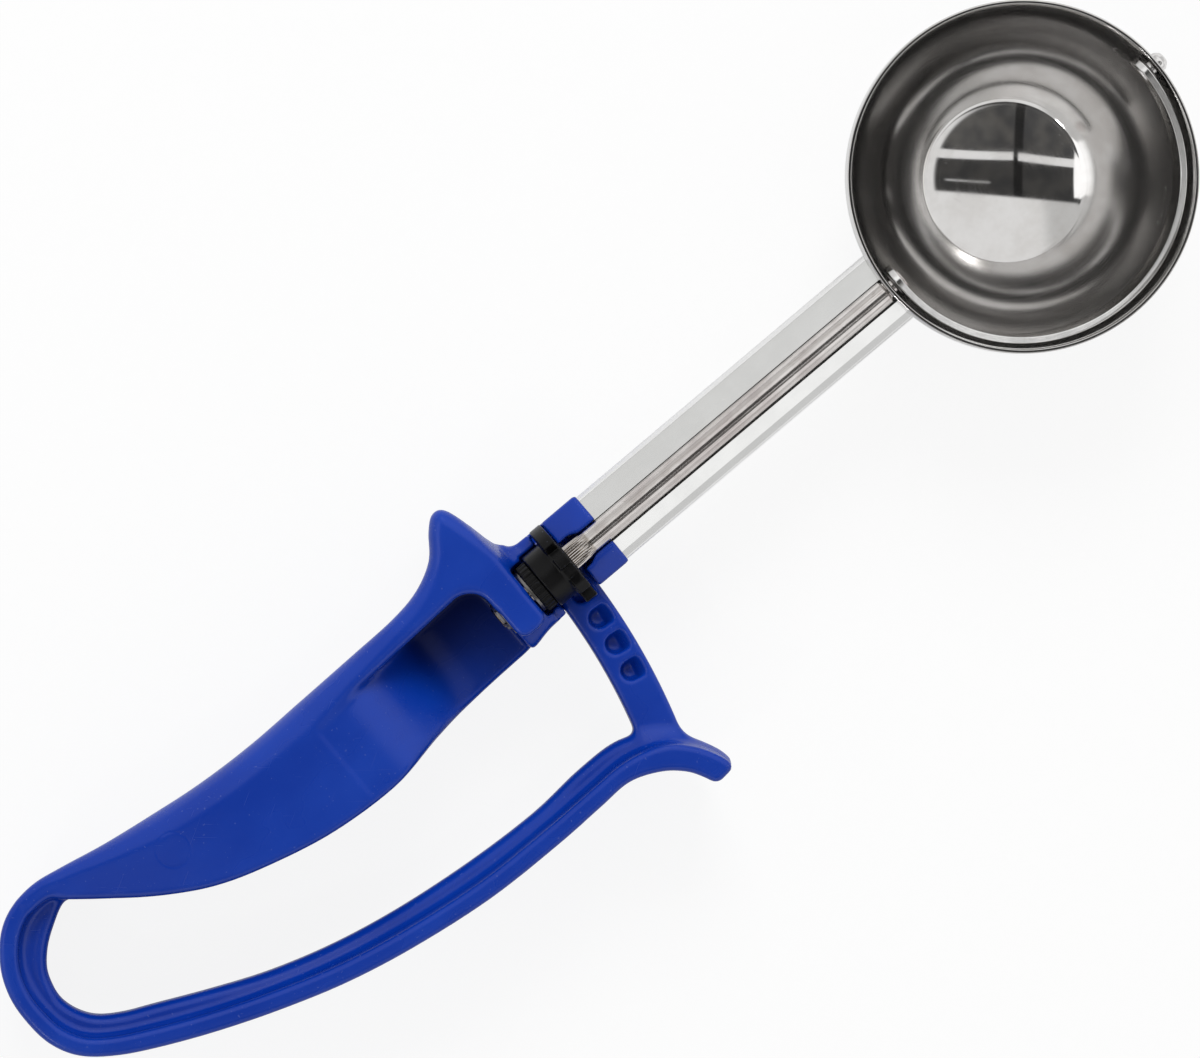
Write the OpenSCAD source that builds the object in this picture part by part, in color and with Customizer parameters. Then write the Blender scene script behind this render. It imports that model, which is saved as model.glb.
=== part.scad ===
// Lever ice cream scoop: a one-piece plastic squeeze handle with a living
// spring, whose rack arm turns a pinion, a rod and a scraper blade.
// The pinion's rod runs along +X at axis_h above the underside of the grip.
// The origin is on that underside, below the pinion. The bowl opens upwards.

/* [Bowl] */
// Outside diameter of the bowl
bowl_d = 57; // [50:0.5:66]
// Sheet thickness of the bowl
bowl_wall = 0.9; // [0.7:0.1:1.3]
// Height of the rim above the rod's axis
rim_h = 3.6; // [3.2:0.1:6]
// Radius of the crease around the flatter bottom
crease_r = 13.3; // [10:0.1:16]
// Depth of the flatter bottom below its crease
dish_depth = 2.7; // [2.4:0.1:3.2]
// Distance from the pinion to the bowl's centre
reach = 96.8; // [88:0.1:120]

/* [Shank] */
// Width of the shank channel
shank_w = 12.6; // [11.8:0.1:12.8]
// Height of the shank channel
shank_h = 12.7; // [12.4:0.1:13.5]
// Sheet thickness of the shank channel
shank_wall = 0.9; // [0.7:0.1:1]
// Outside radius of the channel's long corners
shank_corner = 2.6; // [2:0.1:3.2]
// Width of the open slot that the rod lies in
slot_w = 5.4; // [5:0.1:6]
// Depth of the channel's top face below the rod's axis
wing_drop = 0.6; // [0.4:0.1:1]
// Width of the tang that runs back into the grip
tang_w = 7; // [5:0.1:7]
// Length of the tang behind the channel's square end
tang_len = 36; // [26:0.5:40]
// Diameter of the two moulded bosses that lock the tang
boss_d = 4; // [3:0.1:4.5]

/* [Rod] */
// Diameter of the drive rod
rod_d = 4; // [3.6:0.1:4.2]
// Diameter over the knurl pressed into the pinion
knurl_d = 4.6; // [4.4:0.1:4.8]
// Length of knurl that shows in front of the pinion
knurl_show = 3.1; // [2:0.1:4]
// Diameter of the journals in the bowl wall and the blade
journal_d = 3; // [2.6:0.1:3.2]
// Length of the thin end of the rod outside the bowl
journal_lead = 5; // [3:0.1:8]
// Length of rod behind the bearing wall
rod_tail = 1.4; // [1.2:0.1:2.4]

/* [Pinion] */
// Pitch radius of the pinion
pitch_r = 6.4; // [6.3:0.02:6.5]
// Number of tooth places around the whole pinion
tooth_places = 8; // [8:1:8]
// Tip radius of the teeth and of the smooth stretch of flange
tip_r = 7.35; // [7.1:0.05:7.4]
// Root radius between the teeth
root_r = 5.2; // [4.9:0.05:5.25]
// Width of a tooth at its root
tooth_root_w = 2.2; // [1.9:0.05:2.25]
// Width of a tooth at its tip
tooth_tip_w = 2.1; // [1.6:0.05:2.15]
// Thickness of the toothed flange
flange_t = 2.2; // [1.8:0.1:2.6]
// Diameter of the pinion's hub
hub_d = 10; // [9:0.1:10.2]
// Length of the pinion's hub
hub_len = 3.6; // [3:0.1:4]
// Diameter of the ribbed collar behind the hub
collar_d = 8.8; // [8:0.1:9.4]
// Length of the ribbed collar
collar_len = 2; // [1.6:0.1:2.2]
// Number of ribs around the collar
collar_ribs = 24; // [16:1:30]
// Depth of the grooves between the collar's ribs
rib_depth = 0.25; // [0.15:0.05:0.4]

/* [Blade] */
// Width of the scraper blade
blade_w = 6; // [5:0.1:8]
// Thickness of the scraper blade
blade_t = 0.8; // [0.6:0.05:1]
// Gap between the blade and the round wall of the bowl
blade_gap = 1.1; // [1:0.05:1.3]
// Travel of the blade between its two rest sides
sweep = 169; // [160:0.5:170]
// Diameter of the spacer washers on the blade's journals
spacer_d = 5; // [4.4:0.1:5.4]
// Thickness of the spacer washers
spacer_t = 0.6; // [0.4:0.05:0.7]
// Diameter of the rivet's head outside the bowl
rivet_head_d = 3.6; // [3.4:0.1:4.4]
// Height of the rivet's head outside the bowl
rivet_head_h = 1.7; // [1:0.1:2]

/* [Retainers] */
// Diameter of the thrust washer behind the collar
washer_d = 8; // [7:0.1:8.6]
// Thickness of the thrust washer
washer_t = 0.6; // [0.4:0.05:0.8]
// Diameter of the push-on nut on the rod's tail
nut_d = 7.4; // [6.4:0.1:8]
// Thickness of the push-on nut's disc
nut_t = 0.5; // [0.4:0.05:0.6]
// Diameter of the push-on nut's raised collar
nut_collar_d = 5.2; // [4.8:0.1:5.8]
// Height of the push-on nut's raised collar
nut_collar_h = 0.5; // [0.3:0.05:0.6]

/* [Grip] */
// Height of the rod's axis above the underside of the grip
axis_h = 21.5; // [20.5:0.5:24]
// Height of the grip's face above the rod's axis
face_rise = 4.6; // [4.2:0.1:6]
// Radius of the grip's long edges
grip_edge_r = 2.6; // [1.5:0.1:3.5]
// Thickness of the block's sides around the shank
ear_wall = 0.3; // [0.3:0.05:1]
// Length of the front block ahead of the pinion
block_front = 8.5; // [7.5:0.1:10]
// Height of the front block's top above the rod's axis
block_rise = 0.5; // [0.2:0.1:1.2]
// Thickness of the wall that carries the rod
bearing_wall = 5; // [4:0.1:6]
// Depth of the thumb recess below the grip's face
recess_depth = 13; // [8:0.5:14]
// Length of the thumb recess from the bearing wall
recess_len = 29; // [24:0.5:34]

/* [Lever] */
// Height of the outer flange of the lever and the loop
flange_depth = 23.7; // [21:0.1:26]
// Depth of the lever's inner web
web_depth = 6.4; // [6.2:0.1:7]
// Thickness of the rack arm
arm_t = 6; // [5.4:0.1:6]
// Depth of the arm's top below the rod's axis
arm_drop = 5.5; // [5.5:0.1:5.8]
// Radius from the loop's pivot to the pinion
rack_r = 105.2; // [105:0.1:106]
// Width of the rack arm inside that radius
arm_inner_w = 4.3; // [3.6:0.1:4.6]
// Width of the rack arm outside that radius
arm_outer_w = 2.4; // [2:0.1:2.6]
// Distance from the rod's axis down to the arm's root in the lever
arm_root = 33.2; // [31:0.2:34]
// Number of slots in the rack arm
slots = 5; // [5:1:5]
// Width of each slot
rack_slot_w = 3.1; // [3.05:0.05:3.3]
// Depth of each slot
rack_slot_depth = 2.8; // [2.5:0.1:3]
// Length of each slot inside the pitch radius
rack_slot_inner = 2.2; // [1.8:0.1:2.4]
// Angle of the lowest tooth before the bottom at rest
mesh_phase = 7; // [4:0.5:12]

/* [Fits] */
// Radial running clearance of the rod in its bearings
run_fit = 0.05; // [0.03:0.01:0.08]
// Gap around pieces that are moulded or pressed in
seat_fit = 0.02; // [0.01:0.01:0.05]
// Side gap between stationary and moving flat faces
side_fit = 0.15; // [0.1:0.05:0.25]
// Gap between the rack arm and its slot in the block
arm_fit = 0.4; // [0.3:0.05:0.5]

/* [Hidden] */
$fn = 64;

BLUE = [0.05, 0.15, 0.58];
STEEL = [0.78, 0.78, 0.80];
BLACK = [0.08, 0.08, 0.09];

through = 80;
over = 1;
spline_steps = 4;
corner_steps = 3;

// Bowl
bowl_r = bowl_d / 2;
bowl_in = bowl_r - bowl_wall;
crease_z = -sqrt(bowl_in * bowl_in - crease_r * crease_r);
dish_r = (crease_r * crease_r + dish_depth * dish_depth) / (2 * dish_depth);
dish_centre_z = crease_z - dish_depth + dish_r;

// Blade, seen from the bowl's centre
blade_out = bowl_in - blade_gap;
blade_in = blade_out - blade_t;
blade_rest = (180 - sweep) / 2;
tab_r = blade_w / 2;
stake_h = 0.5;
stake_d = 4.2;
stake_x = reach - blade_in + stake_d * stake_d / (8 * blade_in);

// Stations along the rod, from the pinion's middle
flange_back = -flange_t / 2;
hub_back = flange_back - hub_len;
collar_back = hub_back - collar_len;
washer_back = collar_back - washer_t;
wall_front = washer_back - side_fit;
wall_back = wall_front - bearing_wall;
rod_back = wall_back - rod_tail;
journal_start = reach - bowl_r - journal_lead;

// Block and channel
block_w = shank_w + 2 * ear_wall;
slot_back = -arm_inner_w - arm_fit;
slot_front = arm_outer_w + arm_fit;
shank_back = slot_front + 0.6;
shank_top = -wing_drop;
shank_bottom = shank_top - shank_h;
arm_top = -arm_drop;
arm_bottom = arm_top - arm_t;
grip_bottom = -axis_h;
mid_z = (arm_top + arm_bottom) / 2;
gear_room = tip_r + arm_fit;
hub_room = hub_d / 2 + arm_fit;
boss_pitch = tang_len / 3;

// Rack
slot_step = (360 / tooth_places) * pitch_r / rack_r;
slot_phase = -mesh_phase * pitch_r / rack_r;
arm_tip_angle = 1.2;
arm_root_angle = -asin(arm_root / rack_r);
smooth_clear = 44;
smooth_from = sweep + smooth_clear;
smooth_to = 360 - smooth_clear;

// Edges of the lever's tee section
edge_r = 0.9;
fillet_w = 1.2;

// Grip, from its thin end to its front: lower edge x and y, upper edge x and
// y, drop of the face.
GRIP = [
    [-96.9, 9.9, -97.5, 14.4, 2.4],
    [-91.5, 6.2, -92, 13.5, 1.8],
    [-84, 0.9, -85, 12.1, 1.1],
    [-76, -3.5, -76, 10.7, 0.4],
    [-67, -6.5, -67, 9.6, 0],
    [-56, -9, -57, 9.2, 0],
    [-44, -9.8, -46, 9.4, 0],
    [-34, -8.6, -35, 9.7, 0],
    [-25, -8.2, -26.5, 10, 0],
    [-20, -8, -20.8, 11.1, 0],
    [-16.5, -7.9, -16, 13.6, 0],
    [-13.5, -7.8, -13, 17.2, 0],
    [-11.2, -7.4, -10.8, 18.9, 0],
    [-9.4, -7, -8.9, 18.2, 0],
    [-8.2, -6.8, -7.6, 14, 0.2],
    [-7.2, -6.7, -6.6, 10.4, 1.6],
    [-6.2, -6.6, -5.6, 8.2, 4.2]
];

// Loop from the grip's seam to the lever's seam: outer edge x and y, inner
// edge x and y, thickness of the outer flange.
LOOP = [
    [-97.5, 14.4, -96.9, 9.9, 2.6],
    [-102.6, 14, -100.2, 8.5, 2.8],
    [-106.8, 12, -103.4, 6.4, 3],
    [-110.4, 8.3, -105.8, 3.7, 3.1],
    [-112.6, 4, -106.9, 0.8, 3.2],
    [-113.5, -0.8, -107.2, -2, 3.2],
    [-112.8, -5.8, -106.3, -5, 3.2],
    [-110.4, -10.3, -104.4, -7.6, 3.2],
    [-105.7, -14.2, -101, -9.9, 3.2],
    [-99.2, -17.8, -96.4, -12.1, 3.2]
];

// Lever from the loop's seam to the tip of its hook, in the same columns.
LEVER = [
    [-99.2, -17.8, -96.4, -12.1, 3.2],
    [-90.5, -21.8, -88, -16.1, 3.2],
    [-80.5, -25.7, -78.5, -20.2, 3.2],
    [-69.6, -29.2, -67.9, -23.6, 3.2],
    [-57.7, -31.8, -56.6, -26, 3.2],
    [-43.6, -33.7, -43, -27.7, 3.2],
    [-30, -34.1, -29.8, -28.4, 3.2],
    [-20.8, -33.9, -19.4, -27.8, 3.2],
    [-14.6, -33.8, -11.5, -28.3, 3.4],
    [-9.6, -35.8, -5.2, -31.6, 4.4],
    [-6.4, -38.5, -2.4, -35.8, 4.3],
    [-4.6, -41.3, -0.6, -39.8, 3.9],
    [-3.4, -43.4, -0.1, -42.9, 2.9]
];

// --- Shapes along a curve ---

// A point on a smooth curve between b and c, at t from 0 to 1.
function between(a, b, c, d, t) =
    0.5 * (2 * b + (c - a) * t + (2 * a - 5 * b + 4 * c - d) * t * t
    + (3 * b - a - 3 * c + d) * t * t * t);

// A smooth run of rows through the given rows.
function smooth(rows, steps) = let (last = len(rows) - 1) [
    for (i = [0 : last - 1], k = [0 : steps - 1])
        between(rows[max(i - 1, 0)], rows[i], rows[i + 1],
            rows[min(i + 2, last)], k / steps),
    rows[last]
];

// The point at u along the line from a to b, at height z.
function along(a, b, u, z) = let (p = a + (b - a) * u / norm(b - a)) [p.x, p.y, z];

// A rounded upright section across the grip for one row.
function grip_ring(row) = let (
    a = [row[0], row[1]], b = [row[2], row[3]], w = norm(b - a),
    low = 0, high = axis_h + face_rise - row[4],
    r = min(grip_edge_r, w * 0.4)
) [
    for (c = [0 : 3], k = [0 : corner_steps]) let (
        turn = 90 * c + 90 * k / corner_steps,
        u = (c == 0 || c == 3) ? w - r : r,
        z = c < 2 ? high - r : low + r
    ) along(a, b, u + r * cos(turn), z + r * sin(turn))
];

// A flange-and-web section across the lever or the loop for one row.
function tee_ring(row) = let (
    a = [row[0], row[1]], b = [row[2], row[3]], w = norm(b - a), t = row[4],
    f = flange_depth, h = web_depth / 2, e = edge_r, m = axis_h + mid_z,
    v = w - edge_r / 4, s = min(t + fillet_w, v - edge_r / 4)
) [
    along(a, b, e, 0), along(a, b, t - e / 2, 0), along(a, b, t, e / 2),
    along(a, b, s, m - h), along(a, b, v, m - h), along(a, b, w, m - h + e),
    along(a, b, w, m + h - e), along(a, b, v, m + h), along(a, b, s, m + h),
    along(a, b, t, f - e / 2), along(a, b, t - e / 2, f), along(a, b, e, f),
    along(a, b, 0, f - e), along(a, b, 0, e)
];

// The end of a tee section as three convex faces.
TEE_END = [[13, 0, 1, 2, 9, 10, 11, 12], [2, 3, 8, 9], [3, 4, 5, 6, 7, 8]];

function backwards(list) = [for (i = [len(list) - 1 : -1 : 0]) list[i]];
function raised(faces, n) = [for (f = faces) [for (i = f) i + n]];

// A closed skin over rings of equal length, with the given end faces.
module skin(rings, ends) {
    n = len(rings[0]);
    last = (len(rings) - 1) * n;
    sides = [
        for (i = [0 : len(rings) - 2], j = [0 : n - 1], half = [0, 1])
            let (a = i * n + j, b = i * n + (j + 1) % n)
            half == 0 ? [a, a + n, b] : [b, a + n, b + n]
    ];
    polyhedron(
        points = [for (ring = rings, p = ring) p],
        faces = concat(sides, ends, [for (f = raised(ends, last)) backwards(f)]),
        convexity = 8
    );
}

// --- Plain helpers, measured from the rod's axis ---

// A round bar along +X from x0 to x1.
module bar(x0, x1, d) {
    translate([x0, 0, axis_h])
        rotate([0, 90, 0])
            cylinder(h = x1 - x0, d = d);
}

// A box from one corner to another, at heights from the rod's axis.
module box(low, high) {
    translate([low.x, low.y, axis_h + low.z])
        cube(high - low);
}

// The part of a turn between two angles, as a wide flat wedge.
module wedge(a0, a1, r) {
    steps = 4;
    polygon(concat([[0, 0]], [
        for (i = [0 : steps]) let (a = a0 + (a1 - a0) * i / steps) r * [cos(a), sin(a)]
    ]));
}

// --- Shank channel ---

// Outline of the channel's round-cornered box, grown by g.
module channel_outline(g) {
    r = shank_corner + g;
    w = shank_w / 2 - shank_corner;
    union() {
        for (y = [-w, w], z = [shank_top - shank_corner, shank_bottom + shank_corner])
            translate([y, z])
                circle(r = r);
        translate([-w, shank_bottom - g])
            square([2 * w, shank_h + 2 * g]);
        translate([-shank_w / 2 - g, shank_bottom + shank_corner])
            square([shank_w + 2 * g, shank_h - 2 * shank_corner]);
    }
}

// Extrudes an outline in Y and Z along X, from x0 to x1.
module along_x(x0, x1) {
    translate([x0, 0, axis_h])
        rotate([90, 0, 90])
            linear_extrude(height = x1 - x0)
                children();
}

// The tang behind the channel, grown by g, with its two holes.
module tang(g) {
    difference() {
        box([shank_back - tang_len - g, -tang_w / 2 - g, shank_bottom - g],
            [shank_back + over, tang_w / 2 + g, shank_bottom + shank_wall + g]);
        for (k = [1, 2])
            translate([shank_back - tang_len + k * boss_pitch - boss_d, 0, 0])
                cylinder(h = through, d = boss_d - 2 * g, center = true);
    }
}

module shank_channel() {
    color(STEEL) union() {
        difference() {
            along_x(shank_back, reach) difference() {
                channel_outline(0);
                channel_outline(-shank_wall);
                translate([-slot_w / 2, -shank_h / 2])
                    square([slot_w, shank_h]);
            }
            translate([reach, 0, axis_h])
                sphere(r = bowl_r + seat_fit);
        }
        tang(0);
    }
}

// --- Bowl ---

// Half the outline of a solid bowl, r to the right and height up, grown by g.
module bowl_outline(g) {
    intersection() {
        union() {
            circle(r = bowl_in + g);
            square([bowl_in + g, rim_h]);
        }
        translate([0, dish_centre_z])
            circle(r = dish_r + g);
        translate([0, -through])
            square([through, through + rim_h]);
    }
}

module bowl() {
    color(STEEL) difference() {
        translate([reach, 0, axis_h])
            rotate_extrude()
                difference() {
                    bowl_outline(bowl_wall);
                    bowl_outline(0);
                }
        bar(reach - bowl_r - over, reach - blade_out, journal_d + 2 * run_fit);
        bar(reach + blade_out, reach + bowl_r + over, journal_d);
    }
}

// --- Rod and what turns with it ---

module drive_rod() {
    color(STEEL) union() {
        bar(rod_back, hub_back, rod_d);
        bar(hub_back, flange_t / 2 + knurl_show, knurl_d);
        bar(flange_t / 2 + knurl_show, journal_start, rod_d);
        bar(journal_start, stake_x, journal_d);
        bar(stake_x, stake_x + stake_h, stake_d);
    }
}

// One tooth pointing down, turned by a towards -Y.
module tooth(a) {
    rotate(a)
        intersection() {
            circle(r = tip_r);
            polygon([
                [0, -tooth_root_w / 2], [root_r, -tooth_root_w / 2],
                [tip_r + over, -tooth_tip_w / 2], [tip_r + over, tooth_tip_w / 2],
                [root_r, tooth_root_w / 2], [0, tooth_root_w / 2]
            ]);
        }
}

// Lays an outline across the rod: its +X points down and its +Y to -Y.
module across_rod(x0, x1) {
    translate([x0, 0, axis_h])
        mirror([0, 1, 0])
            rotate([0, 90, 0])
                linear_extrude(height = x1 - x0)
                    children();
}

module pinion_gear() {
    color(BLACK) difference() {
        union() {
            across_rod(flange_back, -flange_back) {
                circle(r = root_r);
                intersection() {
                    circle(r = tip_r);
                    wedge(smooth_from, smooth_to, 2 * tip_r);
                }
                for (i = [0 : slots - 1])
                    tooth(mesh_phase + i * 360 / tooth_places);
            }
            bar(hub_back, 0, hub_d);
        }
        bar(hub_back - over, flange_t, knurl_d);
    }
}

module gear_collar() {
    color(BLACK) difference() {
        bar(collar_back, hub_back, collar_d);
        bar(collar_back - over, hub_back + over, rod_d);
        for (i = [0 : collar_ribs - 1])
            translate([collar_back - over, 0, axis_h])
                rotate([i * 360 / collar_ribs, 0, 0])
                    translate([0, -rib_depth, collar_d / 2 - rib_depth])
                        cube([collar_len + 2 * over, 2 * rib_depth, over]);
    }
}

module thrust_washer() {
    color(STEEL) difference() {
        bar(washer_back, collar_back, washer_d);
        bar(washer_back - over, collar_back + over, rod_d);
    }
}

module push_nut() {
    face = wall_back - side_fit;
    back = face - nut_t - nut_collar_h;
    color(STEEL) difference() {
        union() {
            bar(face - nut_t, face, nut_d);
            bar(back, face, nut_collar_d);
        }
        bar(back - over, face + over, rod_d);
    }
}

// --- Blade ---

module scraper_blade() {
    color(STEEL) translate([reach, 0, axis_h])
        rotate([blade_rest, 0, 0])
            difference() {
                union() {
                    intersection() {
                        translate([0, 0, -tab_r])
                            difference() {
                                cylinder(h = blade_w, r = blade_out);
                                translate([0, 0, -over])
                                    cylinder(h = blade_w + 2 * over, r = blade_in);
                            }
                        translate([-through, -through, -through])
                            cube([2 * through, through, 2 * through]);
                    }
                    for (side = [-1, 1])
                        intersection() {
                            translate([side * (blade_in + blade_out) / 2, 0, 0])
                                rotate([0, 90, 0])
                                    cylinder(h = 4 * blade_t, d = blade_w, center = true);
                            difference() {
                                cylinder(h = 2 * blade_w, r = blade_out, center = true);
                                cylinder(h = 3 * blade_w, r = blade_in, center = true);
                            }
                        }
                }
                rotate([0, -90, 0])
                    cylinder(h = through, d = journal_d);
                rotate([0, 90, 0])
                    cylinder(h = through, d = journal_d + 2 * run_fit);
            }
}

module blade_spacers() {
    color(STEEL) {
        difference() {
            bar(reach - blade_out - spacer_t, reach - blade_out, spacer_d);
            bar(reach - bowl_r, reach, journal_d);
        }
        difference() {
            bar(reach + blade_out, reach + blade_out + spacer_t, spacer_d);
            bar(reach, reach + bowl_r, journal_d + 2 * run_fit);
        }
    }
}

module far_rivet() {
    color(STEEL) union() {
        bar(reach + blade_in - stake_h, reach + bowl_r + rivet_head_h, journal_d);
        bar(reach + bowl_r, reach + bowl_r + rivet_head_h, rivet_head_d);
    }
}

// --- Handle ---

// The thumb recess: open at the belly, with a floor that climbs to the face.
module recess() {
    floor_z = face_rise - recess_depth;
    far = wall_back - recess_len;
    flat_end = wall_back - 0.45 * recess_len;
    knee = [far + 0.25 * recess_len, face_rise - 0.3 * recess_depth];
    corner = 4.5;
    side = 7.2;
    intersection() {
        translate([0, 0, axis_h + floor_z])
            linear_extrude(height = through)
                union() {
                    translate([far, -through / 2])
                        square([recess_len - corner, through / 2 + side]);
                    translate([far, -through / 2])
                        square([recess_len, through / 2 + side - corner]);
                    translate([wall_back - corner, side - corner])
                        circle(r = corner);
                }
        translate([0, through / 2, axis_h])
            rotate([90, 0, 0])
                linear_extrude(height = through)
                    polygon([
                        [wall_back, floor_z], [wall_back, through],
                        [far, through], [far, face_rise], knee, [flat_end, floor_z]
                    ]);
    }
}

// The rounded end of the bearing wall: what is cut away beyond it slopes down
// to the belly.
module wall_end() {
    end_y = -5.1;
    end_r = 2.2;
    top_z = face_rise - grip_edge_r;
    intersection() {
        translate([0, 0, axis_h - face_rise])
            linear_extrude(height = through)
                difference() {
                    translate([wall_back - seat_fit, -through])
                        square([slot_back - wall_back + seat_fit, through]);
                    translate([wall_back - seat_fit, end_y + end_r])
                        square([bearing_wall + side_fit, through]);
                    translate([wall_back + end_r, end_y])
                        square([bearing_wall - 2 * end_r, through]);
                    for (x = [wall_back + end_r, wall_front - end_r])
                        translate([x, end_y + end_r])
                            circle(r = end_r);
                }
        along_x(wall_back - over, 0)
            polygon([[end_y + end_r, top_z], [end_y + end_r, through], [-through, through],
                [-block_w, -face_rise], [-block_w / 2 - over, -face_rise]]);
    }
}

// Front block around the rod, with a chamfered chin.
module front_block() {
    chin = 6.5;
    back = (wall_front + wall_back) / 2;
    translate([0, block_w / 2, axis_h])
        rotate([90, 0, 0])
            linear_extrude(height = block_w)
                polygon([
                    [back, grip_bottom], [block_front - chin, grip_bottom],
                    [block_front, grip_bottom + chin], [block_front, block_rise],
                    [back, block_rise]
                ]);
}

module handle_body() {
    rows = smooth(GRIP, spline_steps);
    n = 4 * (corner_steps + 1);
    color(BLUE) difference() {
        union() {
            skin([for (row = rows) grip_ring(row)], [[for (i = [0 : n - 1]) i]]);
            front_block();
        }
        recess();
        wall_end();
        // Room for the pinion, its hub and collar
        across_rod(-flange_t / 2 - arm_fit, slot_front)
            union() {
                circle(r = gear_room);
                translate([-through, -gear_room])
                    square([through, 2 * gear_room]);
            }
        across_rod(wall_front, 0)
            union() {
                circle(r = hub_room);
                translate([-through, -hub_room])
                    square([through, 2 * hub_room]);
            }
        // Slot that the rack arm slides through
        box([slot_back, -through, arm_bottom - arm_fit], [slot_front, through, arm_top + arm_fit]);
        box([slot_back, -through, arm_bottom - arm_fit], [slot_front, 0, through]);
        // Bearing, open slot for the rod, socket and tang
        bar(wall_back - over, wall_front + over, rod_d + 2 * run_fit);
        box([0, -knurl_d / 2 - side_fit, arm_top],
            [block_front + over, knurl_d / 2 + side_fit, through]);
        along_x(shank_back - seat_fit, block_front + over)
            channel_outline(seat_fit);
        tang(seat_fit);
    }
}

module spring_loop() {
    color(BLUE)
        skin([for (row = smooth(LOOP, spline_steps)) tee_ring(row)], TEE_END);
}

module squeeze_lever() {
    inner = rack_r - arm_inner_w;
    outer = rack_r + arm_outer_w;
    tip = (outer - inner) / 2;
    color(BLUE) union() {
        skin([for (row = smooth(LEVER, spline_steps)) tee_ring(row)], TEE_END);
        difference() {
            translate([-rack_r, 0, axis_h + arm_bottom])
                linear_extrude(height = arm_t)
                    union() {
                        difference() {
                            intersection() {
                                circle(r = outer);
                                wedge(arm_root_angle, arm_tip_angle, 2 * rack_r);
                            }
                            circle(r = inner);
                        }
                        rotate(arm_tip_angle)
                            translate([inner + tip, 0])
                                circle(r = tip);
                    }
            for (i = [0 : slots - 1])
                translate([-rack_r, 0, axis_h + arm_top - rack_slot_depth])
                    rotate(slot_phase - i * slot_step)
                        translate([rack_r - rack_slot_inner + rack_slot_w / 2, 0])
                            linear_extrude(height = through)
                                union() {
                                    circle(d = rack_slot_w);
                                    translate([0, -rack_slot_w / 2])
                                        square([through, rack_slot_w]);
                                }
        }
    }
}

handle_body();
spring_loop();
squeeze_lever();
shank_channel();
bowl();
drive_rod();
pinion_gear();
gear_collar();
thrust_washer();
push_nut();
scraper_blade();
blade_spacers();
far_rivet();
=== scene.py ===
"""Looks of a lever ice cream scoop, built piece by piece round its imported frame.

Lengths are in millimetres and are measured from the drive rod's axis at the
middle of the pinion's flange: +X runs along the rod to the bowl, +Y to the
grip's horn, and +Z out of the bowl. The finished meshes and the finishes are in
metres, and their heights are measured from the underside.
"""

import logging
import math
from dataclasses import dataclass
from enum import Enum
from functools import reduce
from typing import Callable, Sequence

import bmesh
import bpy
import numpy as np
from mathutils import Matrix, Vector


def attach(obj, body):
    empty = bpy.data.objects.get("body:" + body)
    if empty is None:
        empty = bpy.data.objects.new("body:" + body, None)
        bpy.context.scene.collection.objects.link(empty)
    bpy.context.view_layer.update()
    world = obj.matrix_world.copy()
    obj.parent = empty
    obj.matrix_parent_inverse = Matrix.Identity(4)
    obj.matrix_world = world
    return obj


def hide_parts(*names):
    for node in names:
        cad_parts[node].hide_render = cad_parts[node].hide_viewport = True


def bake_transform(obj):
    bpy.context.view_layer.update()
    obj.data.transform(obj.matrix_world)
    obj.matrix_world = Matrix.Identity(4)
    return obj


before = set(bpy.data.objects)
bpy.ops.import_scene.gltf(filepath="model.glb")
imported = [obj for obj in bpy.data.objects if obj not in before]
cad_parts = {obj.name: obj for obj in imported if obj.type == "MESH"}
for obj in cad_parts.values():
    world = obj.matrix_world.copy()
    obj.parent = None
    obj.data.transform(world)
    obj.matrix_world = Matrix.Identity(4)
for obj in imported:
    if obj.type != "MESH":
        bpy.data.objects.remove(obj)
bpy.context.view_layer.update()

LOG = logging.getLogger("scoop")

Colour = tuple[float, float, float, float]
Field = np.ndarray

# Metres in a millimetre
MM = 0.001
# Height of the rod's axis above the underside
AXIS_H = 21.5
# Place of the bowl's axis
REACH = 96.8
# Radius of the rod, and of its thin end and the rivet
ROD_R = 2.0
JOURNAL_R = 1.5
# Rear end of the pinion's hub
HUB_BACK = -4.7
# Teeth of the pinion, the places for them in a whole turn, and the angle of the first
TEETH = 5
TOOTH_PLACES = 8
TOOTH_PHASE = 7.0
# A distance that is far outside every piece
FAR = 40.0


# --- Shader wiring ---------------------------------------------------------


def arithmetic(operation: str, flipped: bool = False) -> Callable[["Wire", "Wire | float"], "Wire"]:
    """Makes a method of Wire that adds one Math node.

    Args:
        operation: What the node works out.
        flipped: Whether the wire stands on the right of the other value.

    Returns:
        The method.
    """
    def method(self: "Wire", other: "Wire | float") -> "Wire":
        """Adds the node on this wire and another value."""
        values = (other, self) if flipped else (self, other)
        return self.graph.node("ShaderNodeMath", {"operation": operation}, dict(enumerate(values)))

    return method


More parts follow.
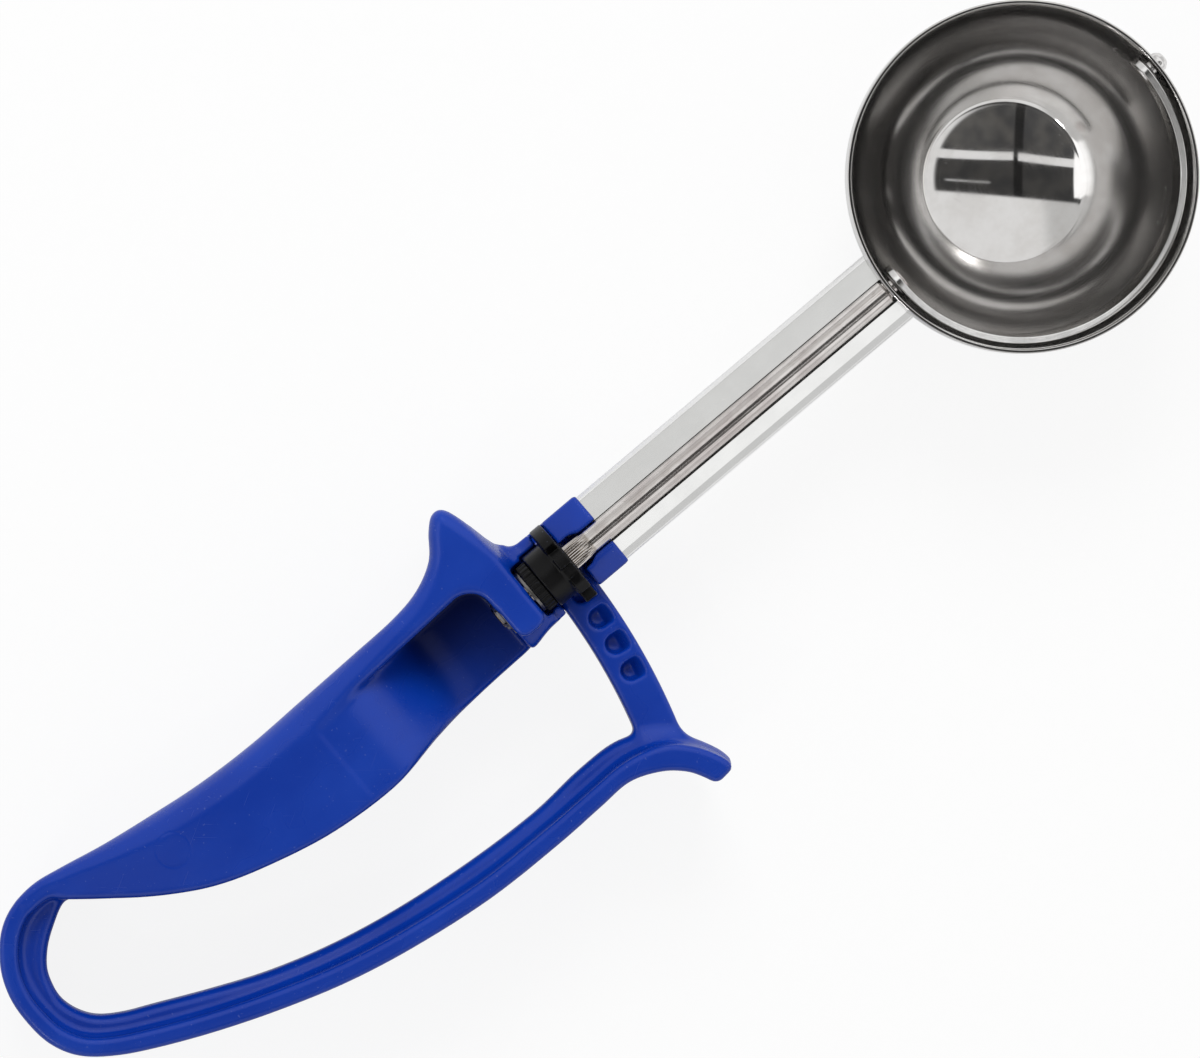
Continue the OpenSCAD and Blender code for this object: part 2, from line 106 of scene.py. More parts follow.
class Wire:
    """An output of a shader node that takes part in arithmetic."""

    __add__ = arithmetic("ADD")
    __radd__ = arithmetic("ADD", flipped=True)
    __sub__ = arithmetic("SUBTRACT")
    __rsub__ = arithmetic("SUBTRACT", flipped=True)
    __mul__ = arithmetic("MULTIPLY")
    __rmul__ = arithmetic("MULTIPLY", flipped=True)
    __pow__ = arithmetic("POWER")
    __rpow__ = arithmetic("POWER", flipped=True)
    larger = arithmetic("MAXIMUM")

    def __init__(self, graph: "Graph", socket: bpy.types.NodeSocket) -> None:
        """Keeps the graph that new nodes go to, and the socket itself."""
        self.graph = graph
        self.socket = socket

    def near(self, place: float, outer: float, inner: float) -> "Wire":
        """Goes from 0 at the outer distance from a place to 1 at the inner distance."""
        away = self.graph.node("ShaderNodeMath", {"operation": "ABSOLUTE"}, {0: self - place})
        return away.ramp(outer, inner)

    def ramp(self, start: float, end: float, low: float = 0.0, high: float = 1.0) -> "Wire":
        """Goes smoothly from low to high while this value goes from start to end.

        Args:
            start: Value at which the result begins to change.
            end: Value at which the change is over, above or below the start.
            low: Result at the start.
            high: Result at the end.

        Returns:
            The eased value.
        """
        if start > end:
            start, end, low, high = end, start, high, low
        return self.graph.node(
            "ShaderNodeMapRange",
            {"interpolation_type": "SMOOTHSTEP"},
            {"Value": self, "From Min": start, "From Max": end, "To Min": low, "To Max": high},
        )


def far_off(a: Wire, b: Wire) -> Wire:
    """Distance that two wires at right angles add up to."""
    return (a * a + b * b) ** 0.5


class Graph:
    """The node tree of a material or a world."""

    def __init__(self, tree: bpy.types.NodeTree) -> None:
        """Empties the tree and starts from nothing."""
        self.tree = tree
        tree.nodes.clear()

    def add(
        self,
        kind: str,
        settings: dict[str, object] | None = None,
        values: dict[int | str, object] | None = None,
    ) -> bpy.types.Node:
        """Adds a node of any type.

        Args:
            kind: Type name of the node.
            settings: Properties that are set before the sockets.
            values: Wires or plain values for the input sockets.

        Returns:
            The node.
        """
        made = self.tree.nodes.new(kind)
        for name, value in (settings or {}).items():
            setattr(made, name, value)
        for name, value in (values or {}).items():
            if isinstance(value, Wire):
                self.tree.links.new(value.socket, made.inputs[name])
            else:
                made.inputs[name].default_value = value
        return made

    def node(
        self,
        kind: str,
        settings: dict[str, object] | None = None,
        values: dict[int | str, object] | None = None,
        output: int | str = 0,
    ) -> Wire:
        """One output of a new node, which takes what add takes."""
        return Wire(self, self.add(kind, settings, values).outputs[output])

    def place(self) -> Wire:
        """Position on the object, in metres."""
        return self.node("ShaderNodeTexCoord", output="Object")

    def split(self, vector: Wire) -> tuple[Wire, Wire, Wire]:
        """The three components of a vector."""
        parts = self.add("ShaderNodeSeparateXYZ", values={0: vector})
        return tuple(Wire(self, out) for out in parts.outputs)

    def join(self, x: Wire | float, y: Wire | float, z: Wire | float) -> Wire:
        """A vector from three components."""
        return self.node("ShaderNodeCombineXYZ", values={0: x, 1: y, 2: z})

    def vector(self, operation: str, a: object, b: object, output: int | str = 0) -> Wire:
        """One Vector Math node on two vectors."""
        return self.node("ShaderNodeVectorMath", {"operation": operation}, {0: a, 1: b}, output)

    def mix(self, factor: Wire | float, a: object, b: object) -> Wire:
        """Mixes two colours; the factor is the share of the second one."""
        return self.node("ShaderNodeMix", {"data_type": "RGBA"}, {0: factor, 6: a, 7: b}, output=2)

    def mix_shader(self, factor: Wire, a: Wire, b: Wire) -> Wire:
        """Mixes two shaders; the factor is the share of the second one."""
        return self.node("ShaderNodeMixShader", values={0: factor, 1: a, 2: b})

    def noise(self, vector: Wire, scale: float, detail: float = 2.0, rough: float = 0.5) -> Wire:
        """Fractal noise between 0 and 1.

        Args:
            vector: Where to look the noise up.
            scale: Number of lumps per unit.
            detail: Number of finer layers.
            rough: Strength of each finer layer.

        Returns:
            The noise value.
        """
        values = {"Vector": vector, "Scale": scale, "Detail": detail, "Roughness": rough}
        return self.node("ShaderNodeTexNoise", values=values)

    def bump(self, height: Wire, depth: float, under: Wire | None = None) -> Wire:
        """Turns a height into a normal.

        Args:
            height: Height between 0 and 1.
            depth: Depth in metres that a height of 1 stands for.
            under: Normal from another bump below this one.

        Returns:
            The bent normal.
        """
        values = {"Height": height, "Distance": depth}
        if under is not None:
            values["Normal"] = under
        return self.node("ShaderNodeBump", values=values)

    def ray(self, kind: str) -> Wire:
        """1 for rays of one kind, such as Is Camera Ray."""
        return self.node("ShaderNodeLightPath", output=kind)

    def principled(self, values: dict[str, object]) -> Wire:
        """A Principled shader with the given wires and constants."""
        return self.node("ShaderNodeBsdfPrincipled", values=values)


def rgb(red: int, green: int, blue: int) -> Colour:
    """Linear colour from a screen colour.

    Args:
        red: Red from 0 to 255.
        green: Green from 0 to 255.
        blue: Blue from 0 to 255.

    Returns:
        The colour that a shader takes, opaque.
    """
    shares = (value / 255 for value in (red, green, blue))
    linear = (s / 12.92 if s <= 0.04045 else ((s + 0.055) / 1.055) ** 2.4 for s in shares)
    return (*linear, 1.0)


# --- Finishes --------------------------------------------------------------


@dataclass(frozen=True)
class Finish:
    """A material, and the record's slot that it belongs to."""

    name: str
    slot: str

    def build(self) -> bpy.types.Material:
        """Makes the material once and hands back the same one later.

        Returns:
            The material.
        """
        material = bpy.data.materials.get(self.name)
        if material is None:
            material = bpy.data.materials.new(self.name)
            material.use_nodes = True
            graph = Graph(material.node_tree)
            graph.add("ShaderNodeOutputMaterial", values={"Surface": self.shade(graph)})
        return material

    def shade(self, graph: Graph) -> Wire:
        """Wires the finish up; each kind of finish has its own.

        Args:
            graph: Tree that the nodes go to.

        Returns:
            The shader.
        """
        raise NotImplementedError


@dataclass(frozen=True)
class Hairlines:
    """Sparse hairlines in one direction, given in radians about Z."""

    turn: float
    scale: float
    stretch: tuple = (0.03, 1.0, 1.0)
    patch_scale: float = 90.0

    def mask(self, graph: Graph, place: Wire) -> Wire:
        """Draws the hairlines.

        Args:
            graph: Tree that the nodes go to.
            place: Position on the object, in metres.

        Returns:
            A mask that is 1 on a hairline.
        """
        along = graph.node(
            "ShaderNodeVectorRotate",
            {"rotation_type": "Z_AXIS"},
            {"Vector": place, "Angle": self.turn},
        )
        lines = graph.noise(graph.vector("MULTIPLY", along, self.stretch), self.scale, 1.0)
        patches = graph.noise(place, self.patch_scale, 1.0)
        return lines.ramp(0.70, 0.76) * patches.ramp(0.5, 0.62)


@dataclass(frozen=True)
class MouldedPlastic(Finish):
    """Glossy moulded plastic with faint flow, orange peel, hairlines and dust."""

    deep: Colour = rgb(4, 50, 153)
    pale: Colour = rgb(8, 58, 165)
    flow_scale: float = 70.0
    flow_stretch: tuple = (0.6, 1.0, 1.0)
    smoother: float = 0.04
    rougher: float = 0.05
    roughness: float = 0.27
    gloss: float = 0.40
    refraction: float = 1.49
    peel: float = 8e-6
    peel_scale: float = 1400.0
    hairlines: tuple = (Hairlines(0.7, 2600.0), Hairlines(-0.5, 2100.0))
    line_colour: Colour = (0.45, 0.52, 0.75, 1.0)
    line_share: float = 0.012
    line_rough: float = 0.05
    line_height: float = 0.04
    dust_scale: float = 2300.0
    dust_share: float = 0.08
    relief: float = 2.5e-5

    def shade(self, graph: Graph) -> Wire:
        """Wires one plastic all over."""
        return self._plastic(graph, self._surface(graph, graph.place()), self.gloss)

    def _plastic(self, graph: Graph, surface: dict[str, object], gloss: float) -> Wire:
        """A shader on a surface, with a mirror share of its own."""
        return graph.principled({**surface, "IOR": self.refraction, "Specular IOR Level": gloss})

    def _surface(self, graph: Graph, place: Wire) -> dict[str, object]:
        """Wires what varies over the plastic.

        Args:
            graph: Tree that the nodes go to.
            place: Position on the object, in metres.

        Returns:
            Colour, roughness and normal, by the name of their socket.
        """
        flow = graph.noise(graph.vector("MULTIPLY", place, self.flow_stretch), self.flow_scale, 3.0)
        one, other = (lines.mask(graph, place) for lines in self.hairlines)
        lines = one.larger(other)
        dust = graph.noise(place, self.dust_scale, 0.0).ramp(0.80, 0.84)
        colour = graph.mix(flow.ramp(0.3, 0.7), self.deep, self.pale)
        worn = lines * self.line_share + dust * self.dust_share
        low, high = self.roughness - self.smoother, self.roughness + self.rougher
        peel = graph.bump(graph.noise(place, self.peel_scale, 2.0), self.peel)
        height = self._height(graph, place, 1.0 - lines * self.line_height)
        return {
            "Base Color": graph.mix(worn, colour, self.line_colour),
            "Roughness": flow.ramp(0.2, 0.8, low, high) + lines * self.line_rough,
            "Normal": graph.bump(height, self.relief, under=peel),
        }

    def _height(self, graph: Graph, place: Wire, height: Wire) -> Wire:
        """Height with the marks of one piece, of which most have none."""
        return height


@dataclass(frozen=True)
class GripPlastic(MouldedPlastic):
    """The grip's plastic, with an ejector's ring and painted shade deep in the thumb recess.

    Each fade of the recess's painted shade is an axis, the place where the
    shade begins on it and the place where it is full. Its share grows across
    the recess: two places and the share at each.
    """

    mark: tuple = (-0.0774, 0.0055, 0.0)
    mark_r: float = 0.0028
    mark_w: float = 0.0004
    # Colour and mirror share of the painted shade, which darkens the recess where shade falls
    painted_shade_colour: Colour = rgb(1, 9, 56)
    painted_shade_gloss: float = 0.08
    painted_shade_fades: tuple = (
        (0, -0.036, -0.026), (0, -0.0115, -0.0125), (1, -0.0085, -0.0065), (1, 0.0095, 0.0085),
        (2, 0.0245, 0.0140), (2, 0.0100, 0.0120),
    )
    share: tuple = (-0.007, 0.006, 0.62, 0.93)

    def shade(self, graph: Graph) -> Wire:
        """Wires the plastic, with painted shade deep in the recess: a darker colour and a smaller mirror
        share there.

        Args:
            graph: Tree that the nodes go to.

        Returns:
            The shader.
        """
        place = graph.place()
        surface = self._surface(graph, place)
        parts = graph.split(place)
        # Mask of the painted shade deep in the recess
        depth = parts[1].ramp(*self.share)
        for axis, begins, full in self.painted_shade_fades:
            depth = depth * parts[axis].ramp(begins, full)
        dark = {**surface, "Base Color": graph.mix(depth, surface["Base Color"], self.painted_shade_colour)}
        return graph.mix_shader(
            depth,
            self._plastic(graph, surface, self.gloss),
            self._plastic(graph, dark, self.painted_shade_gloss),
        )

    def _height(self, graph: Graph, place: Wire, height: Wire) -> Wire:
        """Height with the ring that an ejector left."""
        x, y, _ = graph.split(graph.vector("SUBTRACT", place, self.mark))
        return height - far_off(x, y).near(self.mark_r, self.mark_w, 0.0)


class Grain(Enum):
    """Direction of the fine marks that a tool left in steel."""

    ALONG_ROD = "along the rod"
    ROUND_BOWL = "round the bowl's axis"
    ROUND_ROD = "round the rod"


@dataclass(frozen=True)
class Steel(Finish):
    """Stainless steel with tool marks, smudges and hairlines."""

    bright: Colour
    dull: Colour
    roughness: float
    spread: float
    grain: Grain = Grain.ALONG_ROD
    stretch: float = 0.004
    bowl_stretch: float = 0.012
    mark_scale: float = 9000.0
    mark_depth: float = 1.6e-6
    smudge_scale: float = 160.0
    smudge_rough: float = 0.03
    hairlines: Hairlines = Hairlines(1.1, 3200.0)
    line_rough: float = 0.08

    def shade(self, graph: Graph) -> Wire:
        """Wires tool marks, smudges and hairlines.

        Args:
            graph: Tree that the nodes go to.

        Returns:
            The shader.
        """
        place = graph.place()
        marks = graph.noise(self._along_grain(graph, place), self.mark_scale, 2.0, 0.6)
        smudge = graph.noise(place, self.smudge_scale, 3.0, 0.6)
        rough = marks.ramp(0.3, 0.75, self.roughness, self.roughness + self.spread)
        rough = rough + smudge.ramp(0.4, 0.8) * self.smudge_rough
        rough = rough + self.hairlines.mask(graph, place) * self.line_rough
        colour = graph.mix(smudge.ramp(0.35, 0.7), self.bright, self.dull)
        colour, rough = self._worn(graph, place, marks, colour, rough)
        normal = graph.bump(marks, self.mark_depth)
        return graph.principled(
            {"Base Color": colour, "Roughness": rough, "Normal": normal, "Metallic": 1.0}
        )

    def _worn(
        self, graph: Graph, place: Wire, marks: Wire, colour: Wire, rough: Wire
    ) -> tuple[Wire, Wire]:
        """Colour and roughness with the wear of one piece, of which most have none."""
        return colour, rough

    @staticmethod
    def _off_rod(y: Wire, z: Wire) -> Wire:
        """Distance from the rod's axis."""
        return far_off(y, z - AXIS_H * MM)

    def _along_grain(self, graph: Graph, place: Wire) -> Wire:
        """Stretches positions so that noise turns into tool marks.

        Args:
            graph: Tree that the nodes go to.
            place: Position on the object, in metres.

        Returns:
            Where to look the noise up.
        """
        x, y, z = graph.split(place)
        if self.grain is Grain.ALONG_ROD:
            return graph.join(x * self.stretch, y, z)
        if self.grain is Grain.ROUND_ROD:
            return graph.join(x, self._off_rod(y, z), 0.0)
        from_axis = x - REACH * MM
        return graph.join(far_off(from_axis, y), z, from_axis * self.bowl_stretch)


@dataclass(frozen=True)
class RodSteel(Steel):
    """The rod's steel, brown in its streaks and between the knurl's ribs."""

    brown_tint: Colour = (0.20, 0.15, 0.10, 1.0)
    streak: float = 0.55
    mark_share: float = 0.6
    speck_scale: float = 4200.0
    speck_stretch: tuple = (0.12, 1.0, 1.0)
    groove_r: tuple = (0.00206, 0.00194)
    knurl_end: tuple = (0.0058, 0.0054)

    def _worn(
        self, graph: Graph, place: Wire, marks: Wire, colour: Wire, rough: Wire
    ) -> tuple[Wire, Wire]:
        """Adds the brown streaks, and brown between the knurl's ribs.

        Args:
            graph: Tree that the nodes go to.
            place: Position on the object, in metres.
            marks: Noise of the tool marks.
            colour: Colour of the clean steel.
            rough: Roughness of the clean steel.

        Returns:
            The colour and the roughness.
        """
        specks = graph.noise(graph.vector("MULTIPLY", place, self.speck_stretch), self.speck_scale, 2.0)
        worn = marks.ramp(0.52, 0.66) * self.mark_share + specks.ramp(0.6, 0.7) * (1 - self.mark_share)
        x, y, z = graph.split(place)
        low_spots = self._off_rod(y, z).ramp(*self.groove_r) * x.ramp(*self.knurl_end)
        colour = graph.mix(worn * self.streak, colour, self.brown_tint)
        return graph.mix(low_spots, colour, self.brown_tint), rough


@dataclass(frozen=True)
class BowlSteel(Steel):
    """The bowl's steel, darker outside and duller up the inner wall."""

    outside: Colour = (0.50, 0.49, 0.475, 1.0)
    skin_r: tuple = (0.0279, 0.0281)
    rim: tuple = (0.00345, 0.0032)
    bottom: tuple = (-0.0246, -0.0236)
    bottom_rough: float = 0.05
    wall: tuple = (-0.0195, -0.0105)
    wall_rough: float = 0.10

    def _worn(
        self, graph: Graph, place: Wire, marks: Wire, colour: Wire, rough: Wire
    ) -> tuple[Wire, Wire]:
        """Tells the outside from the inside.

        Args:
            graph: Tree that the nodes go to.
            place: Position on the object, in metres.
            marks: Noise of the tool marks; not used.
            colour: Colour of the inside.
            rough: Roughness of the bottom's middle.

        Returns:
            The colour and the roughness.
        """
        middle = graph.vector("SUBTRACT", place, (REACH * MM, 0.0, AXIS_H * MM))
        away = graph.vector("LENGTH", middle, (0.0, 0.0, 0.0), "Value")
        _, _, height = graph.split(middle)
        outer, inner = away.ramp(*self.skin_r), away.ramp(*self.skin_r[::-1])
        duller = height.ramp(*self.bottom) * self.bottom_rough + height.ramp(*self.wall) * self.wall_rough
        return graph.mix(outer * height.ramp(*self.rim), colour, self.outside), rough + inner * duller


@dataclass(frozen=True)
class PaleFloor(Finish):
    """Seamless white paper that keeps a soft shadow."""

    paper: Colour = (0.90, 0.90, 0.90, 1.0)
    fibre: Colour = (0.84, 0.84, 0.845, 1.0)
    fibre_scale: float = 500.0
    fibre_share: float = 0.4
    white: Colour = (1.0, 1.0, 1.0, 1.0)
    seen: float = 0.88
    mirrored: float = 0.2

    def shade(self, graph: Graph) -> Wire:
        """Mixes lit paper with plain white for what the camera and mirrors see.

        Args:
            graph: Tree that the nodes go to.

        Returns:
            The shader.
        """
        fibres = graph.noise(graph.place(), self.fibre_scale, 3.0)
        colour = graph.mix(fibres.ramp(0.3, 0.7) * self.fibre_share, self.paper, self.fibre)
        lit = graph.principled({"Base Color": colour, "Roughness": 0.8, "Specular IOR Level": 0.2})
        white = graph.node("ShaderNodeEmission", values={"Color": self.white, "Strength": 1.0})
        share = (graph.ray("Is Camera Ray") * self.seen).larger(graph.ray("Is Glossy Ray") * self.mirrored)
        return graph.mix_shader(share, lit, white)


BLUE = MouldedPlastic("blue moulded plastic", "blue_plastic")
GRIP_BLUE = GripPlastic("blue moulded plastic of the grip", "blue_plastic")
BLACK = MouldedPlastic(
    "black moulded plastic", "black_plastic",
    deep=rgb(8, 8, 9), pale=rgb(15, 15, 16), roughness=0.34, gloss=0.2, peel=6e-6,
)
SPUN_STEEL = BowlSteel(
    "spun and polished steel", "polished_steel",
    bright=(0.68, 0.67, 0.66, 1.0), dull=(0.62, 0.605, 0.59, 1.0), roughness=0.035, spread=0.04,
    grain=Grain.ROUND_BOWL, mark_depth=3e-7, mark_scale=5200.0,
)
SHEET_STEEL = Steel(
    "satin sheet steel", "satin_steel",
    bright=(0.88, 0.88, 0.87, 1.0), dull=(0.84, 0.84, 0.83, 1.0), roughness=0.16, spread=0.04,
    mark_depth=3e-7,
)
ROD_STEEL = RodSteel(
    "drawn rod steel", "satin_steel",
    bright=(0.74, 0.71, 0.69, 1.0), dull=(0.60, 0.555, 0.54, 1.0), roughness=0.12, spread=0.10,
    mark_depth=3.5e-6,
)
BLADE_STEEL = Steel(
    "polished strip steel", "polished_steel",
    bright=(0.88, 0.875, 0.86, 1.0), dull=(0.80, 0.79, 0.78, 1.0), roughness=0.10, spread=0.05,
    grain=Grain.ROUND_BOWL, mark_depth=4e-7,
)
TURNED_STEEL = Steel(
    "turned and pressed steel", "satin_steel",
    bright=(0.80, 0.79, 0.78, 1.0), dull=(0.66, 0.64, 0.63, 1.0), roughness=0.16, spread=0.08,
    grain=Grain.ROUND_ROD, mark_scale=4000.0,
)
# Washer steel with painted shade: its colour is darkened for the shaded gaps between parts where the
# washers sit, so that they glint little
SHADE_DARKENED_STEEL = Steel(
    "dark washer steel", "satin_steel",
    bright=(0.30, 0.29, 0.28, 1.0), dull=(0.12, 0.115, 0.11, 1.0), roughness=0.28, spread=0.12,
    grain=Grain.ROUND_ROD, mark_scale=4000.0,
)
FLOOR = PaleFloor("seamless paper", "")


# --- Meshes ----------------------------------------------------------------


@dataclass
class Skin:
    """Points and faces of a mesh and, where they are known, the points' normals."""

    points: np.ndarray
    faces: np.ndarray | list[list[int]]
    normals: np.ndarray | None = None

    def middles(self) -> np.ndarray:
        """Middle of each face."""
        return self.points[self.faces].mean(axis=1)

    def part(self, kept: np.ndarray) -> "Skin":
        """The faces that are kept, with the points that they need."""
        used, faces = np.unique(self.faces[kept], return_inverse=True)
        return Skin(self.points[used], faces.reshape(-1, 4), self.normals[used])

    def moved(self, x: float) -> "Skin":
        """The same skin farther along the rod."""
        return Skin(self.points + (x, 0, 0), self.faces, self.normals)

    def joined(self, other: "Skin") -> "Skin":
        """Puts this skin and another one into one mesh.

        Args:
            other: The other skin; the normals of both are left to the mesh.

        Returns:
            The skin of both.
        """
        count = len(self.points)
        added = [[count + k for k in face] for face in other.faces]
        return Skin(np.concatenate([self.points, other.points]), self.faces + added)


def piece(
    name: str,
    skin: Skin,
    finish: Finish,
    node: str,
    body: str | None = None,
    sharp: float = 40.0,
) -> bpy.types.Object:
    """Makes a piece that stands for a node, from points measured from the rod's axis.

    Args:
        name: Name of the piece.
        skin: Its mesh, in millimetres.
        finish: Finish of the whole piece.
        node: Frame node that it replaces.
        body: Body that it rides on, if any.
        sharp: Angle in degrees above which an edge stays sharp, where normals aren't known.

    Returns:
        The new object, in the scene.
    """
    placed = (np.asarray(skin.points, float) + (0.0, 0.0, AXIS_H)) * MM
    mesh = bpy.data.meshes.new(name)
    mesh.from_pydata(placed.tolist(), [], [list(map(int, face)) for face in skin.faces])
    if skin.normals is None:
        merged = bmesh.new()
        merged.from_mesh(mesh)
        bmesh.ops.remove_doubles(merged, verts=merged.verts, dist=1e-7)
        bmesh.ops.recalc_face_normals(merged, faces=merged.faces)
        merged.to_mesh(mesh)
        merged.free()
    mesh.shade_smooth()
    if skin.normals is None:
        mesh.set_sharp_from_angle(angle=math.radians(sharp))
    else:
        mesh.normals_split_custom_set_from_vertices(skin.normals.tolist())
    mesh.materials.append(finish.build())
    made = bpy.data.objects.new(name, mesh)
    bpy.context.scene.collection.objects.link(made)
    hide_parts(node)
    if body is not None:
        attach(made, body)
    LOG.info("%s: %d points, %d faces", name, len(mesh.vertices), len(mesh.polygons))
    return made


def rounded_path(corners: Sequence[tuple[float, float, float]], steps: int = 5) -> np.ndarray:
    """A path of straight runs whose corners are rounded.

    Args:
        corners: Two coordinates and a radius for each corner.
        steps: Number of facets in each rounded corner.

    Returns:
        The points of the path.
    """
    path = []
    for i, (u, v, radius) in enumerate(corners):
        here = np.array([u, v])
        if radius <= 0 or i in (0, len(corners) - 1):
            path.append(here)
            continue
        back = np.array(corners[i - 1][:2]) - here
        ahead = np.array(corners[i + 1][:2]) - here
        back, ahead = back / np.linalg.norm(back), ahead / np.linalg.norm(ahead)
        half = math.acos(float(np.clip(back @ ahead, -1, 1))) / 2
        if half > math.pi / 2 - 0.02:
            path.append(here)
            continue
        middle = (back + ahead) / np.linalg.norm(back + ahead)
        centre = here + middle * radius / math.sin(half)
        start = here + back * radius / math.tan(half) - centre
        end = here + ahead * radius / math.tan(half) - centre
        first, last = math.atan2(start[1], start[0]), math.atan2(end[1], end[0])
        turn = (last - first + math.pi) % (2 * math.pi) - math.pi
        for k in range(steps + 1):
            angle = first + turn * k / steps
            path.append(centre + radius * np.array([math.cos(angle), math.sin(angle)]))
    return np.array(path)


def bands(rings: int, count: int) -> list[list[int]]:
    """Faces between closed rings of points.

    Args:
        rings: Number of rings.
        count: Number of points in each ring.

    Returns:
        Four point numbers for each face.
    """
    faces = []
    for i in range(rings - 1):
        for j in range(count):
            k = (j + 1) % count
            faces.append([i * count + j, i * count + k, (i + 1) * count + k, (i + 1) * count + j])
    return faces


def turned(
    path: np.ndarray,
    facets: int,
    upright: bool = False,
    shape: Callable[[np.ndarray, np.ndarray, np.ndarray], np.ndarray] | None = None,
) -> Skin:
    """Turns a path of (place along the axis, radius) round the axis.

    Args:
        path: Points of the profile.
        facets: Number of facets in a whole turn.
        upright: Turns about Z instead of about the rod.
        shape: Changes the radius from place, radius and angle.

    Returns:
        The skin; its ends close on the axis where the path reaches it.
    """
    along, radius = np.repeat(path[:, :1], facets, 1), np.repeat(path[:, 1:], facets, 1)
    angle = np.tile(np.linspace(0, 2 * np.pi, facets, endpoint=False), (len(path), 1))
    if shape is not None:
        radius = shape(along, radius, angle)
    a, b = radius * np.cos(angle), radius * np.sin(angle)
    stack = (a, b, along) if upright else (along, a, b)
    return Skin(np.stack(stack, -1).reshape(-1, 3), bands(len(path), facets))


def washer(
    start: float, end: float, bore: float, radius: float, edge: float, facets: int, steps: int
) -> Skin:
    """A flat ring on the rod's axis.

    Args:
        start: Where it starts along the rod.
        end: Where it ends.
        bore: Radius of its hole.
        radius: Outer radius.
        edge: Radius of its outer edges.
        facets: Number of facets in a whole turn.
        steps: Number of facets in each edge.

    Returns:
        Its skin.
    """
    path = rounded_path([
        (start, bore, 0), (start, radius, edge), (end, radius, edge), (end, bore, 0), (start, bore, 0),
    ], steps)
    return turned(path, facets)


def smooth_rows(rows: Sequence[Sequence[float]], steps: int = 6) -> np.ndarray:
    """A smooth run of rows through the given rows.

    Args:
        rows: Rows of numbers.
        steps: Number of steps between two given rows.

    Returns:
        The finer rows.
    """
    given = np.array(rows, float)
    last = len(given) - 1
    fine = []
    for i in range(last):
        a, b, c, d = given[max(i - 1, 0)], given[i], given[i + 1], given[min(i + 2, last)]
        for t in np.arange(steps) / steps:
            bend = (2 * a - 5 * b + 4 * c - d) * t**2 + (3 * b - a - 3 * c + d) * t**3
            fine.append(0.5 * (2 * b + (c - a) * t + bend))
    fine.append(given[last])
    return np.array(fine)


# --- Moulded solids --------------------------------------------------------


def eased(share: Field) -> Field:
    """A share from 0 to 1 that starts and ends gently."""
    return share * share * (3 - 2 * share)


def between(value: Field, low: Field | float, high: Field | float) -> Field:
    """Signed distance to the space between two planes."""
    return np.maximum(low - value, value - high)


def shared(*solids: Field) -> Field:
    """What several solids share, with plain edges."""
    return reduce(np.maximum, solids)


def rounded(a: Field, b: Field, radius: Field | float) -> Field:
    """What two solids share, with edges of the given radius."""
    u, v = a + radius, b + radius
    return np.minimum(np.maximum(u, v), 0) + np.hypot(np.maximum(u, 0), np.maximum(v, 0)) - radius


def soft_union(a: Field, b: Field, blend: Field | float) -> Field:
    """Joins two solids with a fillet of about the given width."""
    near = np.clip(blend - np.abs(a - b), 0, None) / blend
    return np.minimum(a, b) - near * near * blend / 4


def soft_cut(a: Field, b: Field, blend: float) -> Field:
    """Cuts the second solid from the first and rounds the edge."""
    return -soft_union(-a, b, blend)


def outline(u: Field, v: Field, corners: np.ndarray) -> Field:
    """Signed distance to a closed outline, negative inside.

    Args:
        u: First coordinate of each place.
        v: Second coordinate of each place.
        corners: Corners of the outline.

    Returns:
        The distance at every place.
    """
    u, v = np.broadcast_arrays(u, v)
    nearest = np.full(u.shape, np.inf)
    inside = np.zeros(u.shape, bool)
    for (au, av), (bu, bv) in zip(corners, np.roll(corners, -1, axis=0)):
        eu, ev = bu - au, bv - av
        length = eu * eu + ev * ev
        if length < 1e-12:
            continue
        du, dv = u - au, v - av
        share = np.clip((du * eu + dv * ev) / length, 0, 1)
        nearest = np.minimum(nearest, (du - eu * share) ** 2 + (dv - ev * share) ** 2)
        if abs(ev) > 1e-12:
            inside ^= ((av <= v) != (bv <= v)) & (du < dv * eu / ev)
    return np.where(inside, -1.0, 1.0) * np.sqrt(nearest)


